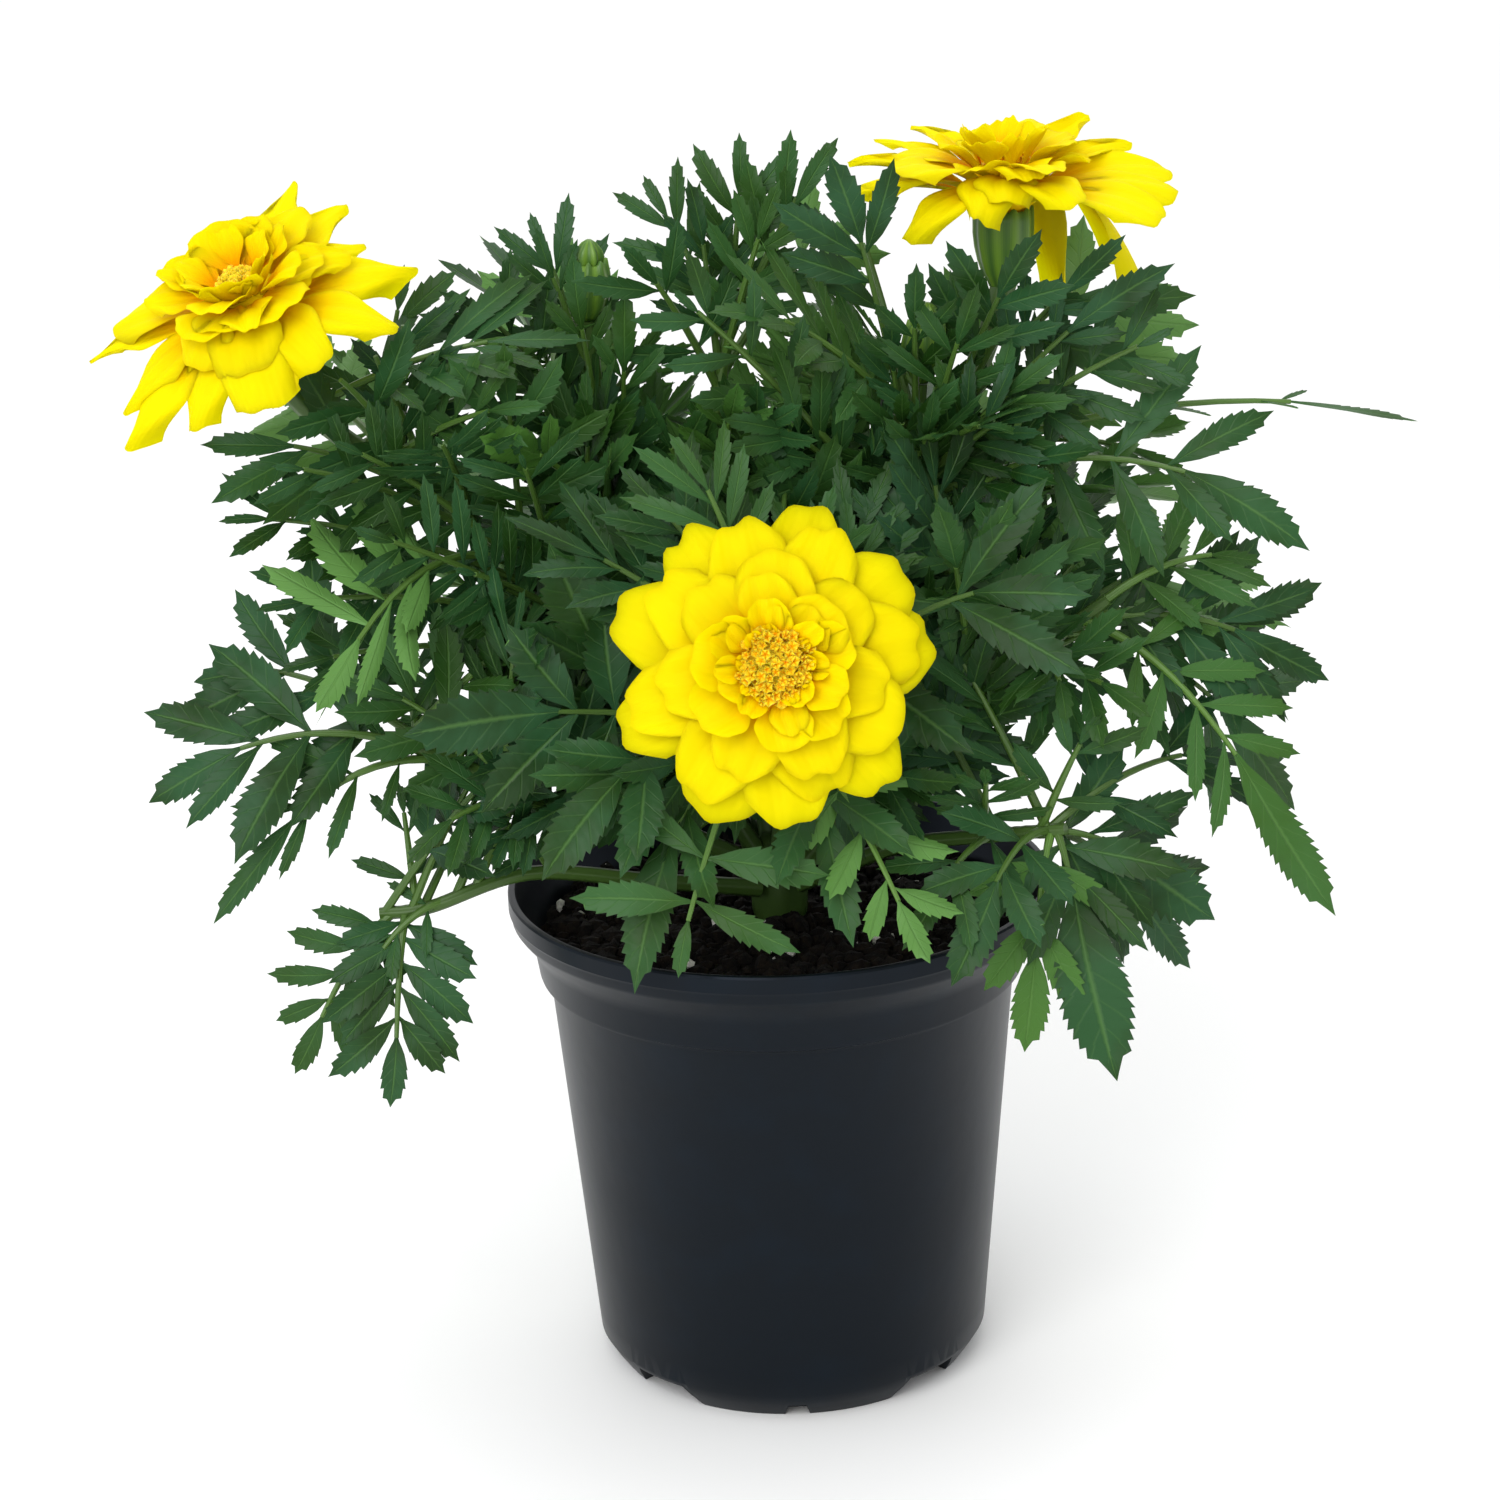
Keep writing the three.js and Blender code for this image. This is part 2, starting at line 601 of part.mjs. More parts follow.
function leafBlade(root, leaf, faces, seed) {
  const [, tipPoint, pairs, lean, arch, form = {}] = leaf;
  const first = form.first ?? firstPair;
  const last = form.last ?? lastPair;
  const tip = vector(tipPoint);
  const span = root.distanceTo(tip);
  const turn = Math.abs(lean);
  const hint = vector(faces).multiplyScalar(turn).add(vector([0, 0, 1 - turn])).normalize();
  const frameAt = ribFrames(root, tip, hint, lean, arch);
  const vertices = [];
  const triangles = [];
  const keep = (point) => vertices.push(point) - 1;
  const half = leafletBase / span;
  const stations = [0];
  for (let k = 0; k < pairs; k++) {
    const s = first + ((last - first) * k) / Math.max(pairs - 1, 1);
    stations.push(s - half, s + half);
  }
  const endStation = last + 3.2 * half;
  stations.push(endStation);
  const rib = stations.map((s) => {
    const { place, up, across } = frameAt(s);
    const size = 0.9 - 0.45 * s;
    return {
      left: keep(place.clone().addScaledVector(across, -size)),
      right: keep(place.clone().addScaledVector(across, size)),
      keel: keep(place.clone().addScaledVector(up, -1.2 * size)),
    };
  });
  triangles.push([rib[0].left, rib[0].keel, rib[0].right]);

  // A fan of triangles above and one below, closed on the rib between two of its corners
  const fan = (outline, closing, middle, up) => {
    const high = keep(middle.clone().addScaledVector(up, bladeThickness / 2));
    const low = keep(middle.clone().addScaledVector(up, -bladeThickness / 2));
    for (let i = 0; i + 1 < outline.length; i++) {
      triangles.push([high, outline[i], outline[i + 1]], [low, outline[i + 1], outline[i]]);
    }
    triangles.push([high, outline[outline.length - 1], outline[0]]);
    for (let i = 0; i + 1 < closing.length; i++) {
      triangles.push([low, closing[i], closing[i + 1]]);
    }
  };

  for (let i = 0; i + 1 < stations.length; i++) {
    const a = rib[i];
    const b = rib[i + 1];
    triangles.push([a.left, a.right, b.right], [a.left, b.right, b.left]);
    if (i % 2 === 0) {
      triangles.push([a.right, a.keel, b.keel], [a.right, b.keel, b.right]);
      triangles.push([a.left, b.left, b.keel], [a.left, b.keel, a.keel]);
      continue;
    }
    const k = (i - 1) / 2;
    const f = pairs > 1 ? k / (pairs - 1) : 0.5;
    const frame = frameAt((stations[i] + stations[i + 1]) / 2);
    const step = (span * (last - first)) / Math.max(pairs - 1, 1);
    const longest = form.leaflet ?? span * leafletShare;
    for (const side of [1, -1]) {
      const number = seed + k * 2 + side;
      const angle = THREE.MathUtils.degToRad(70 - 28 * f + between(-5, 5, number));
      const size = longest * (1 - 0.24 * Math.abs(f - 0.45)) * between(0.93, 1.07, number + 3);
      const width = Math.min(size * leafletSlim, 0.92 * step * Math.sin(angle));
      const lift = between(0.04, 0.2, number + 7);
      const out = frame.along.clone().multiplyScalar(Math.cos(angle));
      out.addScaledVector(frame.across, side * Math.sin(angle));
      out.addScaledVector(frame.up, lift).normalize();
      const across = out.clone().cross(frame.up).normalize().multiplyScalar(side);
      across.addScaledVector(frame.up, -0.2).normalize();
      const from = frame.place.clone().addScaledVector(frame.across, side * 0.6);
      const points = leafletOutline.map(({ u, v }) => {
        const droop = -0.1 * size * u * u;
        return keep(offset(from, out, u * size, across, -v * width, frame.up, droop));
      });
      const middle = from.clone().addScaledVector(out, 0.42 * size);
      middle.addScaledVector(frame.up, -0.03 * size);
      if (side === 1) {
        const outline = [a.right, ...points, b.right];
        fan(outline, [a.right, a.keel, b.keel, b.right], middle, frame.up);
      } else {
        const outline = [b.left, ...points.reverse(), a.left];
        fan(outline, [b.left, b.keel, a.keel, a.left], middle, frame.up);
      }
    }
  }

  // The end leaflet
  const frame = frameAt(endStation);
  const far = frameAt(1);
  const end = rib[rib.length - 1];
  const size = frame.place.distanceTo(far.place);
  const width = size * leafletSlim * 1.05;
  const out = far.place.clone().sub(frame.place).normalize();
  const points = endOutline.map(({ u, v }) =>
    keep(offset(frame.place, out, u * size, frame.across, -v * width, frame.up, 0))
  );
  const middle = frame.place.clone().addScaledVector(out, 0.44 * size);
  middle.addScaledVector(frame.up, 0.04 * size);
  fan([end.right, ...points, end.left], [end.right, end.keel, end.left], middle, frame.up);
  return solidFromPoints(vertices, triangles);
}

// Points and radii along a stem
function stemLine(route, radii) {
  const curve = new THREE.CatmullRomCurve3(route.map(vector), false, "catmullrom", 0.5);
  const steps = Math.round(route.length * 1.5);
  const points = [];
  const widths = [];
  for (let i = 0; i <= steps; i++) {
    const t = i / steps;
    points.push(curve.getPoint(t));
    const [foot, middle, end] = radii;
    widths.push(t < 0.5 ? foot + (middle - foot) * 2 * t : middle + (end - middle) * (2 * t - 1));
  }
  return { curve, points, widths };
}

function makeLeafyStem(stem, seed) {
  const { curve, points, widths } = stemLine(stem.route, stem.radii);
  const solids = [tube(points, widths, stemSides)];
  stem.leaves.forEach((leaf, i) => {
    solids.push(leafBlade(curve.getPoint(leaf[0]), leaf, stem.faces, seed + i * 31));
  });
  return joined(solids);
}

// Leaves of a far-side stem, turned out to either side in turn
function ruledLeaves(stem, curve) {
  const leaves = [];
  for (let i = 0; i < stem.leaves; i++) {
    const t = backLeaf.first + ((1 - backLeaf.first) * (i + 0.6)) / stem.leaves;
    const root = curve.getPoint(t);
    const side = i % 2 === 0 ? 1 : -1;
    const away = Math.atan2(root.y, root.x);
    const turn = away + side * backLeaf.spread * between(0.5, 1.1, stem.seed + i);
    const rise = between(-0.15, 0.6, stem.seed + i * 5);
    const length = backLeaf.length * between(0.85, 1.15, stem.seed + i * 9);
    const tip = [
      root.x + length * Math.cos(turn),
      root.y + length * Math.sin(turn),
      root.z + length * rise,
    ];
    leaves.push([t, tip, backLeaf.pairs, 0.5, 0.12]);
  }
  return leaves;
}

function backStem(stem) {
  const route = [[stem.bend[0] * 0.08, crown.foot[1] + 3, 106], stem.bend, stem.end];
  const { curve } = stemLine(route, backStemRadii);
  return {
    name: stem.name,
    route,
    radii: backStemRadii,
    faces: toBack,
    leaves: ruledLeaves(stem, curve),
  };
}

// Flower heads, modelled looking up +Z with the petals' roots about z = 0

// One petal: a closed blade with a narrow root, broad end and waved edge
const petalOutline = [
  { u: 0, v: 0.07 },
  { u: 0, v: -0.07 },
  { u: 0.66, v: -0.5 },
  { u: 0.97, v: -0.28 },
  { u: 0.99, v: 0 },
  { u: 0.97, v: 0.28 },
  { u: 0.66, v: 0.5 },
];
const petalMiddle = { u: 0.6, v: 0 };

// The blade lies at an angle about the axis; height gives its rise at u along it and v across
function petalBlade(angle, reach, width, notch, height) {
  const out = vector([Math.cos(angle), Math.sin(angle), 0]);
  const across = vector([-Math.sin(angle), Math.cos(angle), 0]);
  const up = vector([0, 0, 1]);
  const vertices = [];
  const add = ({ u, v }, k, shift) => {
    const far = k === 4 ? u + notch : u;
    const run = petalStart + far * (reach - petalStart);
    const z = height(far, v, k) + shift;
    vertices.push(offset(vector([0, 0, 0]), out, run, across, v * width, up, z));
  };
  petalOutline.forEach((corner, k) => add(corner, k, 0));
  add(petalMiddle, 20, petalThickness / 2 + 0.2);
  add(petalMiddle, 20, 0.2 - petalThickness / 2);
  const corners = petalOutline.length;
  const triangles = [];
  for (let k = 0; k < corners; k++) {
    const next = (k + 1) % corners;
    triangles.push([corners, k, next], [corners + 1, next, k]);
  }
  return solidFromPoints(vertices, triangles);
}

function whorlPetal(whorl, index, seed) {
  const number = seed + index * 7;
  const angle = (2 * Math.PI * (index + between(-0.14, 0.14, number))) / whorl.count;
  const reach = whorl.reach * between(0.93, 1.05, number + 1);
  const width = whorl.width * between(0.92, 1.06, number + 2);
  const step = (Math.floor(index) % 2) * 0.9;
  const tipDrop = whorl.droop * between(0.6, 1.5, number + 3);
  const notch = chance(number + 4) < 0.5 ? -0.05 : 0.04;
  const height = (u, v, k) => {
    const lift = whorl.root + step;
    const wave = between(-0.3, 0.3, number + 10 + k) * u * Math.abs(v) * 2;
    return lift + whorl.rise * u * (1.6 - 0.6 * u) - tipDrop * u * u * u + wave;
  };
  return petalBlade(angle, reach, width, notch, height);
}

// A loose petal arches from its root to its tip; shorter ones sit higher on the head
function loosePetal([turn, reach, tipHeight, width, arch]) {
  const root = THREE.MathUtils.clamp(5 * (1 - (reach - 16) / 16), 0, 5);
  const rise = tipHeight - root;
  const span = Math.hypot(reach - petalStart, rise);
  const height = (u) => root + rise * u + 4 * arch * span * u * (1 - u);
  return petalBlade(THREE.MathUtils.degToRad(turn), reach, width, 0.04, height);
}

function makePetals(head) {
  const seat = calyx.height * 0.55;
  const heart = turned(
    [
      [0, -seat + seatGap],
      [core.stalk - 0.9, -seat + seatGap],
      [core.stalk, -1],
      [core.radius, 0.4],
      [core.radius, core.height - 1],
      [core.radius - 2, core.height],
      [0, core.height],
    ],
    core.sides
  );
  const solids = [heart];
  whorls.forEach((whorl, w) => {
    if (head.loose && w < innerWhorls) {
      return;
    }
    const opened = { ...whorl, rise: whorl.rise + (head.innerRise ?? 0) };
    for (let index = 0; index < whorl.count; index++) {
      solids.push(whorlPetal(opened, index + w * 0.37, head.seed + w * 101));
    }
  });
  for (const item of head.loose ?? []) {
    solids.push(loosePetal(item));
  }
  return placed(joined(solids), head.centre, head.looks);
}

// The disc: a low dome set with small open florets
function makeDisc(head) {
  const foot = core.height + seatGap;
  const solids = [turned([[0, foot], [5.6, foot], [4.8, foot + 1.2], [0, foot + 2]], 12)];
  for (let i = 0; i < discFlorets; i++) {
    const radius = 5.1 * Math.sqrt((i + 0.4) / discFlorets);
    const angle = i * 2.39996;
    const lean = 0.12 * radius;
    const base = vector([radius * Math.cos(angle), radius * Math.sin(angle), foot + 0.5]);
    const tall = between(2.2, 3.4, head.seed + i);
    const rise = vector([Math.cos(angle) * lean, Math.sin(angle) * lean, tall]);
    solids.push(tube([base, base.clone().add(rise)], [0.7, 1.25], 3));
  }
  return placed(joined(solids), head.centre, head.looks);
}

// The ribbed green cup under the petals
function calyxFoot(head) {
  const looks = vector(head.looks).normalize();
  return vector(head.centre).addScaledVector(looks, -calyx.height);
}

function makeCalyx(head) {
  const { height, radius, neck, sides } = calyx;
  const cupFloor = height * 0.45;
  const profile = [
    [0, 0],
    [neck, 0],
    [neck + 1.5, height * 0.2],
    [radius - 0.3, height * 0.5],
    [radius, height * 0.8],
    [radius - 0.1, height - 1.4],
    [core.stalk + seatGap, height - 1.8],
    [core.stalk - 0.9 + seatGap, cupFloor],
    [0, cupFloor],
  ];
  const foot = calyxFoot(head);
  return placed(turned(profile, sides, 0.03), foot.toArray(), head.looks);
}

function makeBud(item) {
  const { height, radius, neck, sides } = bud;
  const rim = height * 0.82;
  const profile = [
    [0, 0],
    [neck, 0],
    [radius * 0.85, height * 0.22],
    [radius, height * 0.5],
    [radius * 0.8, rim],
    [radius * 0.8 - 0.8, rim],
    [radius * 0.45, rim - 4],
    [0, rim - 4],
  ];
  return placed(turned(profile, sides, 0.05), item.foot, item.looks);
}

function makeBudTip(item) {
  const { height, radius, sides, tip } = bud;
  const rim = height * 0.82;
  const profile = [
    [0, rim - 4 + seatGap],
    [radius * 0.45 - seatGap, rim - 4 + seatGap],
    [radius * 0.8 - 0.8 - seatGap, rim],
    [radius * 0.55, rim + tip * 0.45],
    [radius * 0.2, rim + tip * 0.8],
    [0, rim + tip * 0.85],
  ];
  return placed(turned(profile, sides, 0.08), item.foot, item.looks);
}

// Keeping the pieces clear of each other

// The largest body of a solid, and the rest that is worth keeping
function parted(solid) {
  const bodies = solid.decompose().sort((a, b) => b.volume() - a.volume());
  return { main: bodies[0], rest: bodies.slice(1) };
}

// Cuts a solid clear of another one and keeps what still holds together
function cutClear(solid, other, gap) {
  if (!boxesMeet(solid, other, gap)) return solid;
  return solid.subtract(grown(other, gap));
}

// Where a later stem's leaf crosses an earlier stem's, the leaf ends short of it and the part
// beyond is grown onto the earlier one
function settleCrossings(solids) {
  const settled = [];
  for (const solid of solids) {
    let current = solid;
    for (let j = 0; j < settled.length; j++) {
      const other = settled[j];
      if (!boxesMeet(current, other, 2 * seatGap)) continue;
      const { rest } = parted(current.subtract(grown(other, seatGap)));
      const scraps = rest.filter((body) => body.volume() > smallestScrap);
      if (scraps.length > 0) {
        const bridge = current.intersect(grown(other, seatGap + sink));
        const added = settled
          .slice(j + 1)
          .reduce((solid, later) => cutClear(solid, later, seatGap), joined([bridge, ...scraps]));
        settled[j] = parted(other.add(added)).main;
      }
      current = parted(current.subtract(grown(settled[j], seatGap))).main;
    }
    settled.push(current);
  }
  return settled;
}

// The model

const colours = {
  pot: 0x26292e,
  soil: 0x1d1611,
  crown: 0x40582b,
  leaf: 0x3f6a3f,
  youngLeaf: 0x55803f,
  calyx: 0x608829,
  petal: 0xf8e000,
  disc: 0xe1ab05,
  budTip: 0xb7bd2a,
};

const group = new THREE.Group();
group.name = "potted_french_marigold";

function addPiece(name, solid, colour, roughness) {
  const material = new THREE.MeshStandardMaterial({ color: colour, roughness, metalness: 0 });
  const body = parted(solid.simplify(smallestDetail)).main;
  const piece = new THREE.Mesh(geometryFromSolid(body), material);
  piece.name = name;
  group.add(piece);
}

const pot = makePot();
const crownSolid = makeCrown();
const soil = cutClear(makeSoil(), crownSolid, seatGap);
addPiece("pot", pot, colours.pot, 0.38);
addPiece("soil", soil, colours.soil, 0.95);
addPiece("crown_stem", crownSolid, colours.crown, 0.7);

const firm = [pot, soil, crownSolid];
for (const head of heads) {
  const cup = makeCalyx(head);
  const petals = makePetals(head);
  const disc = makeDisc(head);
  addPiece(`${head.name}_bloom_calyx`, cup, colours.calyx, 0.6);
  addPiece(`${head.name}_bloom_petals`, cutClear(petals, disc, seatGap), colours.petal, 0.6);
  addPiece(`${head.name}_bloom_disc`, disc, colours.disc, 0.75);
  firm.push(cup, petals, disc);
}
for (const item of buds) {
  const cup = makeBud(item);
  const tip = makeBudTip(item);
  addPiece(`${item.name}_bud_calyx`, cup, colours.calyx, 0.6);
  addPiece(`${item.name}_bud_petals`, tip, colours.budTip, 0.6);
  firm.push(cup, tip);
}

const stems = [...leafyStems, ...backStems.map(backStem)];
const cleared = stems.map((stem, i) =>
  firm.reduce((solid, other) => cutClear(solid, other, seatGap), makeLeafyStem(stem, 200 + i * 400))
);
settleCrossings(cleared).forEach((solid, i) => {
  addPiece(`${stems[i].name}_leafy_stem`, solid, colours.leaf, 0.65);
});

export default group;
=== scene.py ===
# A French marigold in flower, in its plastic nursery pot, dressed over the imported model.
# Shapes are worked out in millimetres and turned to metres as each mesh is made.
import math

import bpy
import numpy as np
from mathutils import Matrix, Vector, noise


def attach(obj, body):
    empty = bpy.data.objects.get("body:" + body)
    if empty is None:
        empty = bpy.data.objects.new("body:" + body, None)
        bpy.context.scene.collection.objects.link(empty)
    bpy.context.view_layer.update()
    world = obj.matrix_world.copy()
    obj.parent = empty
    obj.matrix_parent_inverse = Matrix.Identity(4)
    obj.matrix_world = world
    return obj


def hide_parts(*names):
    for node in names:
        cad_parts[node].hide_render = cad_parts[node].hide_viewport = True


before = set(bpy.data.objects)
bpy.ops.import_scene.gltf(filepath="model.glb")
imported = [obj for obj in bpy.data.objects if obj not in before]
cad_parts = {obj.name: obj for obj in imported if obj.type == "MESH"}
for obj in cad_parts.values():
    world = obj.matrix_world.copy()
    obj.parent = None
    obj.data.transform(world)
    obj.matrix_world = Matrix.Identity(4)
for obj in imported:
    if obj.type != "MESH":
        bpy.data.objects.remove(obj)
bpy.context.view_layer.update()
mm = 0.001
up = Vector((0, 0, 1))
toFront = (0, -1, 0)
toBack = (0, 1, 0)
plainMark = (0, 0, 0, 0)
sharpFold = math.radians(70)


# Small tools

def chance(number):
    # a fraction from 0 to 1 that is always the same for the same number
    value = math.sin(number * 12.9898) * 43758.5453
    return value - math.floor(value)


def between(low, high, number):
    return low + (high - low) * chance(number)


def mix(a, b, share):
    return a + (b - a) * share


def clamp(value, low=0.0, high=1.0):
    return max(low, min(high, value))


def smooth(low, high, value):
    share = clamp((value - low) / (high - low))
    return share * share * (3 - 2 * share)


class Draft:
    # one piece in the making: its points, faces, material numbers and corner marks
    def __init__(self):
        self.points = []
        self.faces = []
        self.kinds = []
        self.marks = []

    def point(self, place):
        self.points.append(tuple(place))
        return len(self.points) - 1

    def face(self, corners, kind, marks):
        self.faces.append(corners)
        self.kinds.append(kind)
        self.marks.extend(marks)


def makePiece(name, draft, materials, slot, *nodes, smooth=True):
    # marks hold: along the blade, across it, underside or not, tone
    mesh = bpy.data.meshes.new(name)
    points = np.array(draft.points) * mm
    mesh.from_pydata(points.tolist(), [], draft.faces)
    mesh.polygons.foreach_set("material_index", draft.kinds)
    mesh.polygons.foreach_set("use_smooth", [smooth] * len(draft.faces))
    layer = mesh.color_attributes.new("mark", "FLOAT_COLOR", "CORNER")
    layer.data.foreach_set("color", np.array(draft.marks, dtype=np.float32).ravel())
    for material in materials:
        mesh.materials.append(material)
    mesh.validate()
    if smooth:
        mesh.set_sharp_from_angle(angle=sharpFold)
    mesh.update()
    piece = bpy.data.objects.new(name, mesh)
    bpy.context.scene.collection.objects.link(piece)
    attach(piece, "root")
    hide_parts(*nodes)


def curvePoint(route, t):
    # a Catmull-Rom curve through the route's points
    points = [Vector(p) for p in route]
    last = len(points) - 1
    spot = last * t
    i = min(int(spot), last - 1)
    w = spot - i
    before = points[i - 1] if i > 0 else points[0] * 2 - points[1]
    after = points[i + 2] if i + 2 <= last else points[last] * 2 - points[last - 1]
    leave = (points[i + 1] - before) * 0.5
    arrive = (after - points[i]) * 0.5
    return (
        points[i] * (2 * w**3 - 3 * w**2 + 1)
        + leave * (w**3 - 2 * w**2 + w)
        + points[i + 1] * (3 * w**2 - 2 * w**3)
        + arrive * (w**3 - w**2)
    )


def frameAlong(points):
    # a normal and binormal at every point that turn as little as they can
    frames = []
    normal = None
    for i in range(len(points)):
        along = (points[min(i + 1, len(points) - 1)] - points[max(i - 1, 0)]).normalized()
        if normal is None:
            helper = up if abs(along.z) < 0.9 else Vector((1, 0, 0))
            normal = helper.cross(along).normalized()
        normal = (normal - along * normal.dot(along)).normalized()
        frames.append((normal, along.cross(normal)))
    return frames


def addTube(draft, points, radii, sides, kind, tone, ridge=0.0):
    # a closed tube along the points, with five shallow ridges
    frames = frameAlong(points)
    rings = []
    for i, point in enumerate(points):
        normal, binormal = frames[i]
        ring = []
        for j in range(sides):
            angle = 2 * math.pi * j / sides
            radius = radii[i] * (1 + ridge * math.cos(5 * angle))
            place = point + normal * (math.cos(angle) * radius)
            ring.append(draft.point(place + binormal * (math.sin(angle) * radius)))
        rings.append(ring)
    for i in range(len(rings) - 1):
        u0, u1 = i / (len(rings) - 1), (i + 1) / (len(rings) - 1)
        for j in range(sides):
            n = (j + 1) % sides
            v0, v1 = j / sides, (j + 1) / sides
            corners = (rings[i][j], rings[i][n], rings[i + 1][n], rings[i + 1][j])
            marks = ((u0, v0, 0, tone), (u0, v1, 0, tone), (u1, v1, 0, tone), (u1, v0, 0, tone))
            draft.face(corners, kind, marks)
    draft.face(tuple(reversed(rings[0])), kind, [(0, 0, 0, tone)] * sides)
    draft.face(tuple(rings[-1]), kind, [(1, 0, 0, tone)] * sides)


def addTurned(draft, profile, sides, tone, turn, ridges=0, depth=0.0, teeth=0.0):
    # a closed turned body: profile is (radius, height) from axis to axis
    rows = []
    brim = max(height for _, height in profile)
    for radius, height in profile:
        if radius < 1e-6:
            rows.append([draft.point(turn @ Vector((0, 0, height)))])
            continue
        row = []
        for j in range(sides):
            angle = 2 * math.pi * j / sides
            swell = 1 + depth * math.cos(angle * ridges) if ridges else 1
            spot = Vector((math.cos(angle), math.sin(angle), 0)) * (radius * swell)
            point = max(0.0, math.cos(angle * ridges)) * teeth if height > brim - 0.5 else 0
            row.append(draft.point(turn @ (spot + up * (height + point))))
        rows.append(row)
    last = len(rows) - 1
    for k in range(last):
        u0, u1 = k / last, (k + 1) / last
        for j in range(sides):
            n = (j + 1) % sides
            v = j / sides
            if len(rows[k]) == 1:
                corners = (rows[k][0], rows[k + 1][n], rows[k + 1][j])
            elif len(rows[k + 1]) == 1:
                corners = (rows[k][j], rows[k][n], rows[k + 1][0])
            else:
                corners = (rows[k][j], rows[k][n], rows[k + 1][n], rows[k + 1][j])
            marks = [(u0 if c in rows[k] else u1, v, 0, tone) for c in corners]
            draft.face(corners, 0, marks)


def lookAlong(place, looks):
    turn = up.rotation_difference(Vector(looks).normalized())
    return Matrix.Translation(Vector(place)) @ turn.to_matrix().to_4x4()


# Material tools

def colour(hexValue):
    # an sRGB hex colour as linear values
    parts = [int(hexValue[k:k + 2], 16) / 255 for k in (1, 3, 5)]
    linear = [c / 12.92 if c <= 0.04045 else ((c + 0.055) / 1.055) ** 2.4 for c in parts]
    return (*linear, 1.0)


def addNode(tree, kind, settings=None, links=None):
    # adds a node, sets its properties or sockets, and links others to it; a node given without
    # a socket stands for its first output
    node = tree.nodes.new(kind)
    for key, value in (settings or {}).items():
        if isinstance(key, str) and hasattr(node, key) and key not in node.inputs:
            setattr(node, key, value)
        else:
            node.inputs[key].default_value = value
    for key, source in (links or {}).items():
        output = source if isinstance(source, bpy.types.NodeSocket) else source.outputs[0]
        tree.links.new(output, node.inputs[key])
    return node


shaderSockets = {
    "roughness": "Roughness",
    "ior": "IOR",
    "sheen": "Specular IOR Level",
    "scatter": "Subsurface Weight",
    "scatterSpread": "Subsurface Radius",
}


def newMaterial(name):
    material = bpy.data.materials.new(name)
    material.use_nodes = True
    tree = material.node_tree
    tree.nodes.clear()
    return material, tree


def finishMaterial(tree, look, links):
    # values that are the same all over go onto the shader's own sockets
    settings = {socket: look[key] for key, socket in shaderSockets.items() if key in look}
    if "scatter" in look:
        settings["Subsurface Scale"] = look["scatterDepth"] * mm
    if "tint" in look:
        settings["Specular Tint"] = colour(look["tint"])
    if "plain" in look:
        settings["Base Color"] = colour(look["plain"])
    shader = addNode(tree, "ShaderNodeBsdfPrincipled", settings, links)
    addNode(tree, "ShaderNodeOutputMaterial", None, {"Surface": shader.outputs["BSDF"]})


def readMarks(tree):
    # the corner marks of a piece, whole and split up
    mark = addNode(tree, "ShaderNodeAttribute", {"attribute_name": "mark"})
    part = addNode(tree, "ShaderNodeSeparateColor", {}, {"Color": mark.outputs["Color"]})
    return mark, part


def waveAcross(tree, part, turn, shape):
    # a wave that repeats across a blade or around a stem
    angle = addNode(
        tree, "ShaderNodeMath", {"operation": "MULTIPLY", 1: turn}, {0: part.outputs["Green"]}
    )
    return addNode(tree, "ShaderNodeMath", {"operation": shape}, {0: angle})


# Living leaf blade: a waxy matt skin over dark green tissue. The eye sees deep green with a cool
# bloom on top, a paler rib with slanting side veins, and a much lighter underside.
leafBlade = {
    "deep": "#102f06",
    "cool": "#214829",
    "young": "#47732a",
    "under": "#547f3c",
    "vein": "#5b8440",
    "edge": "#2c2320",
    "veinShow": 0.36,
    "veinDepth": 0.6,
    "veinHeight": 0.3,
    "ribWidth": 0.06,
    "sideVeins": 7.0,
    "sideVeinSlant": 2.2,
    "sideVeinWidth": 0.09,
    "sideVeinShow": 0.3,
    "edgeStart": 0.44,
    "edgeShow": 0.2,
    "patchSize": 16.0,
    "patchRange": (0.38, 0.62),
    "roughness": 0.46,
    "sheen": 0.26,
    "ior": 1.43,
}


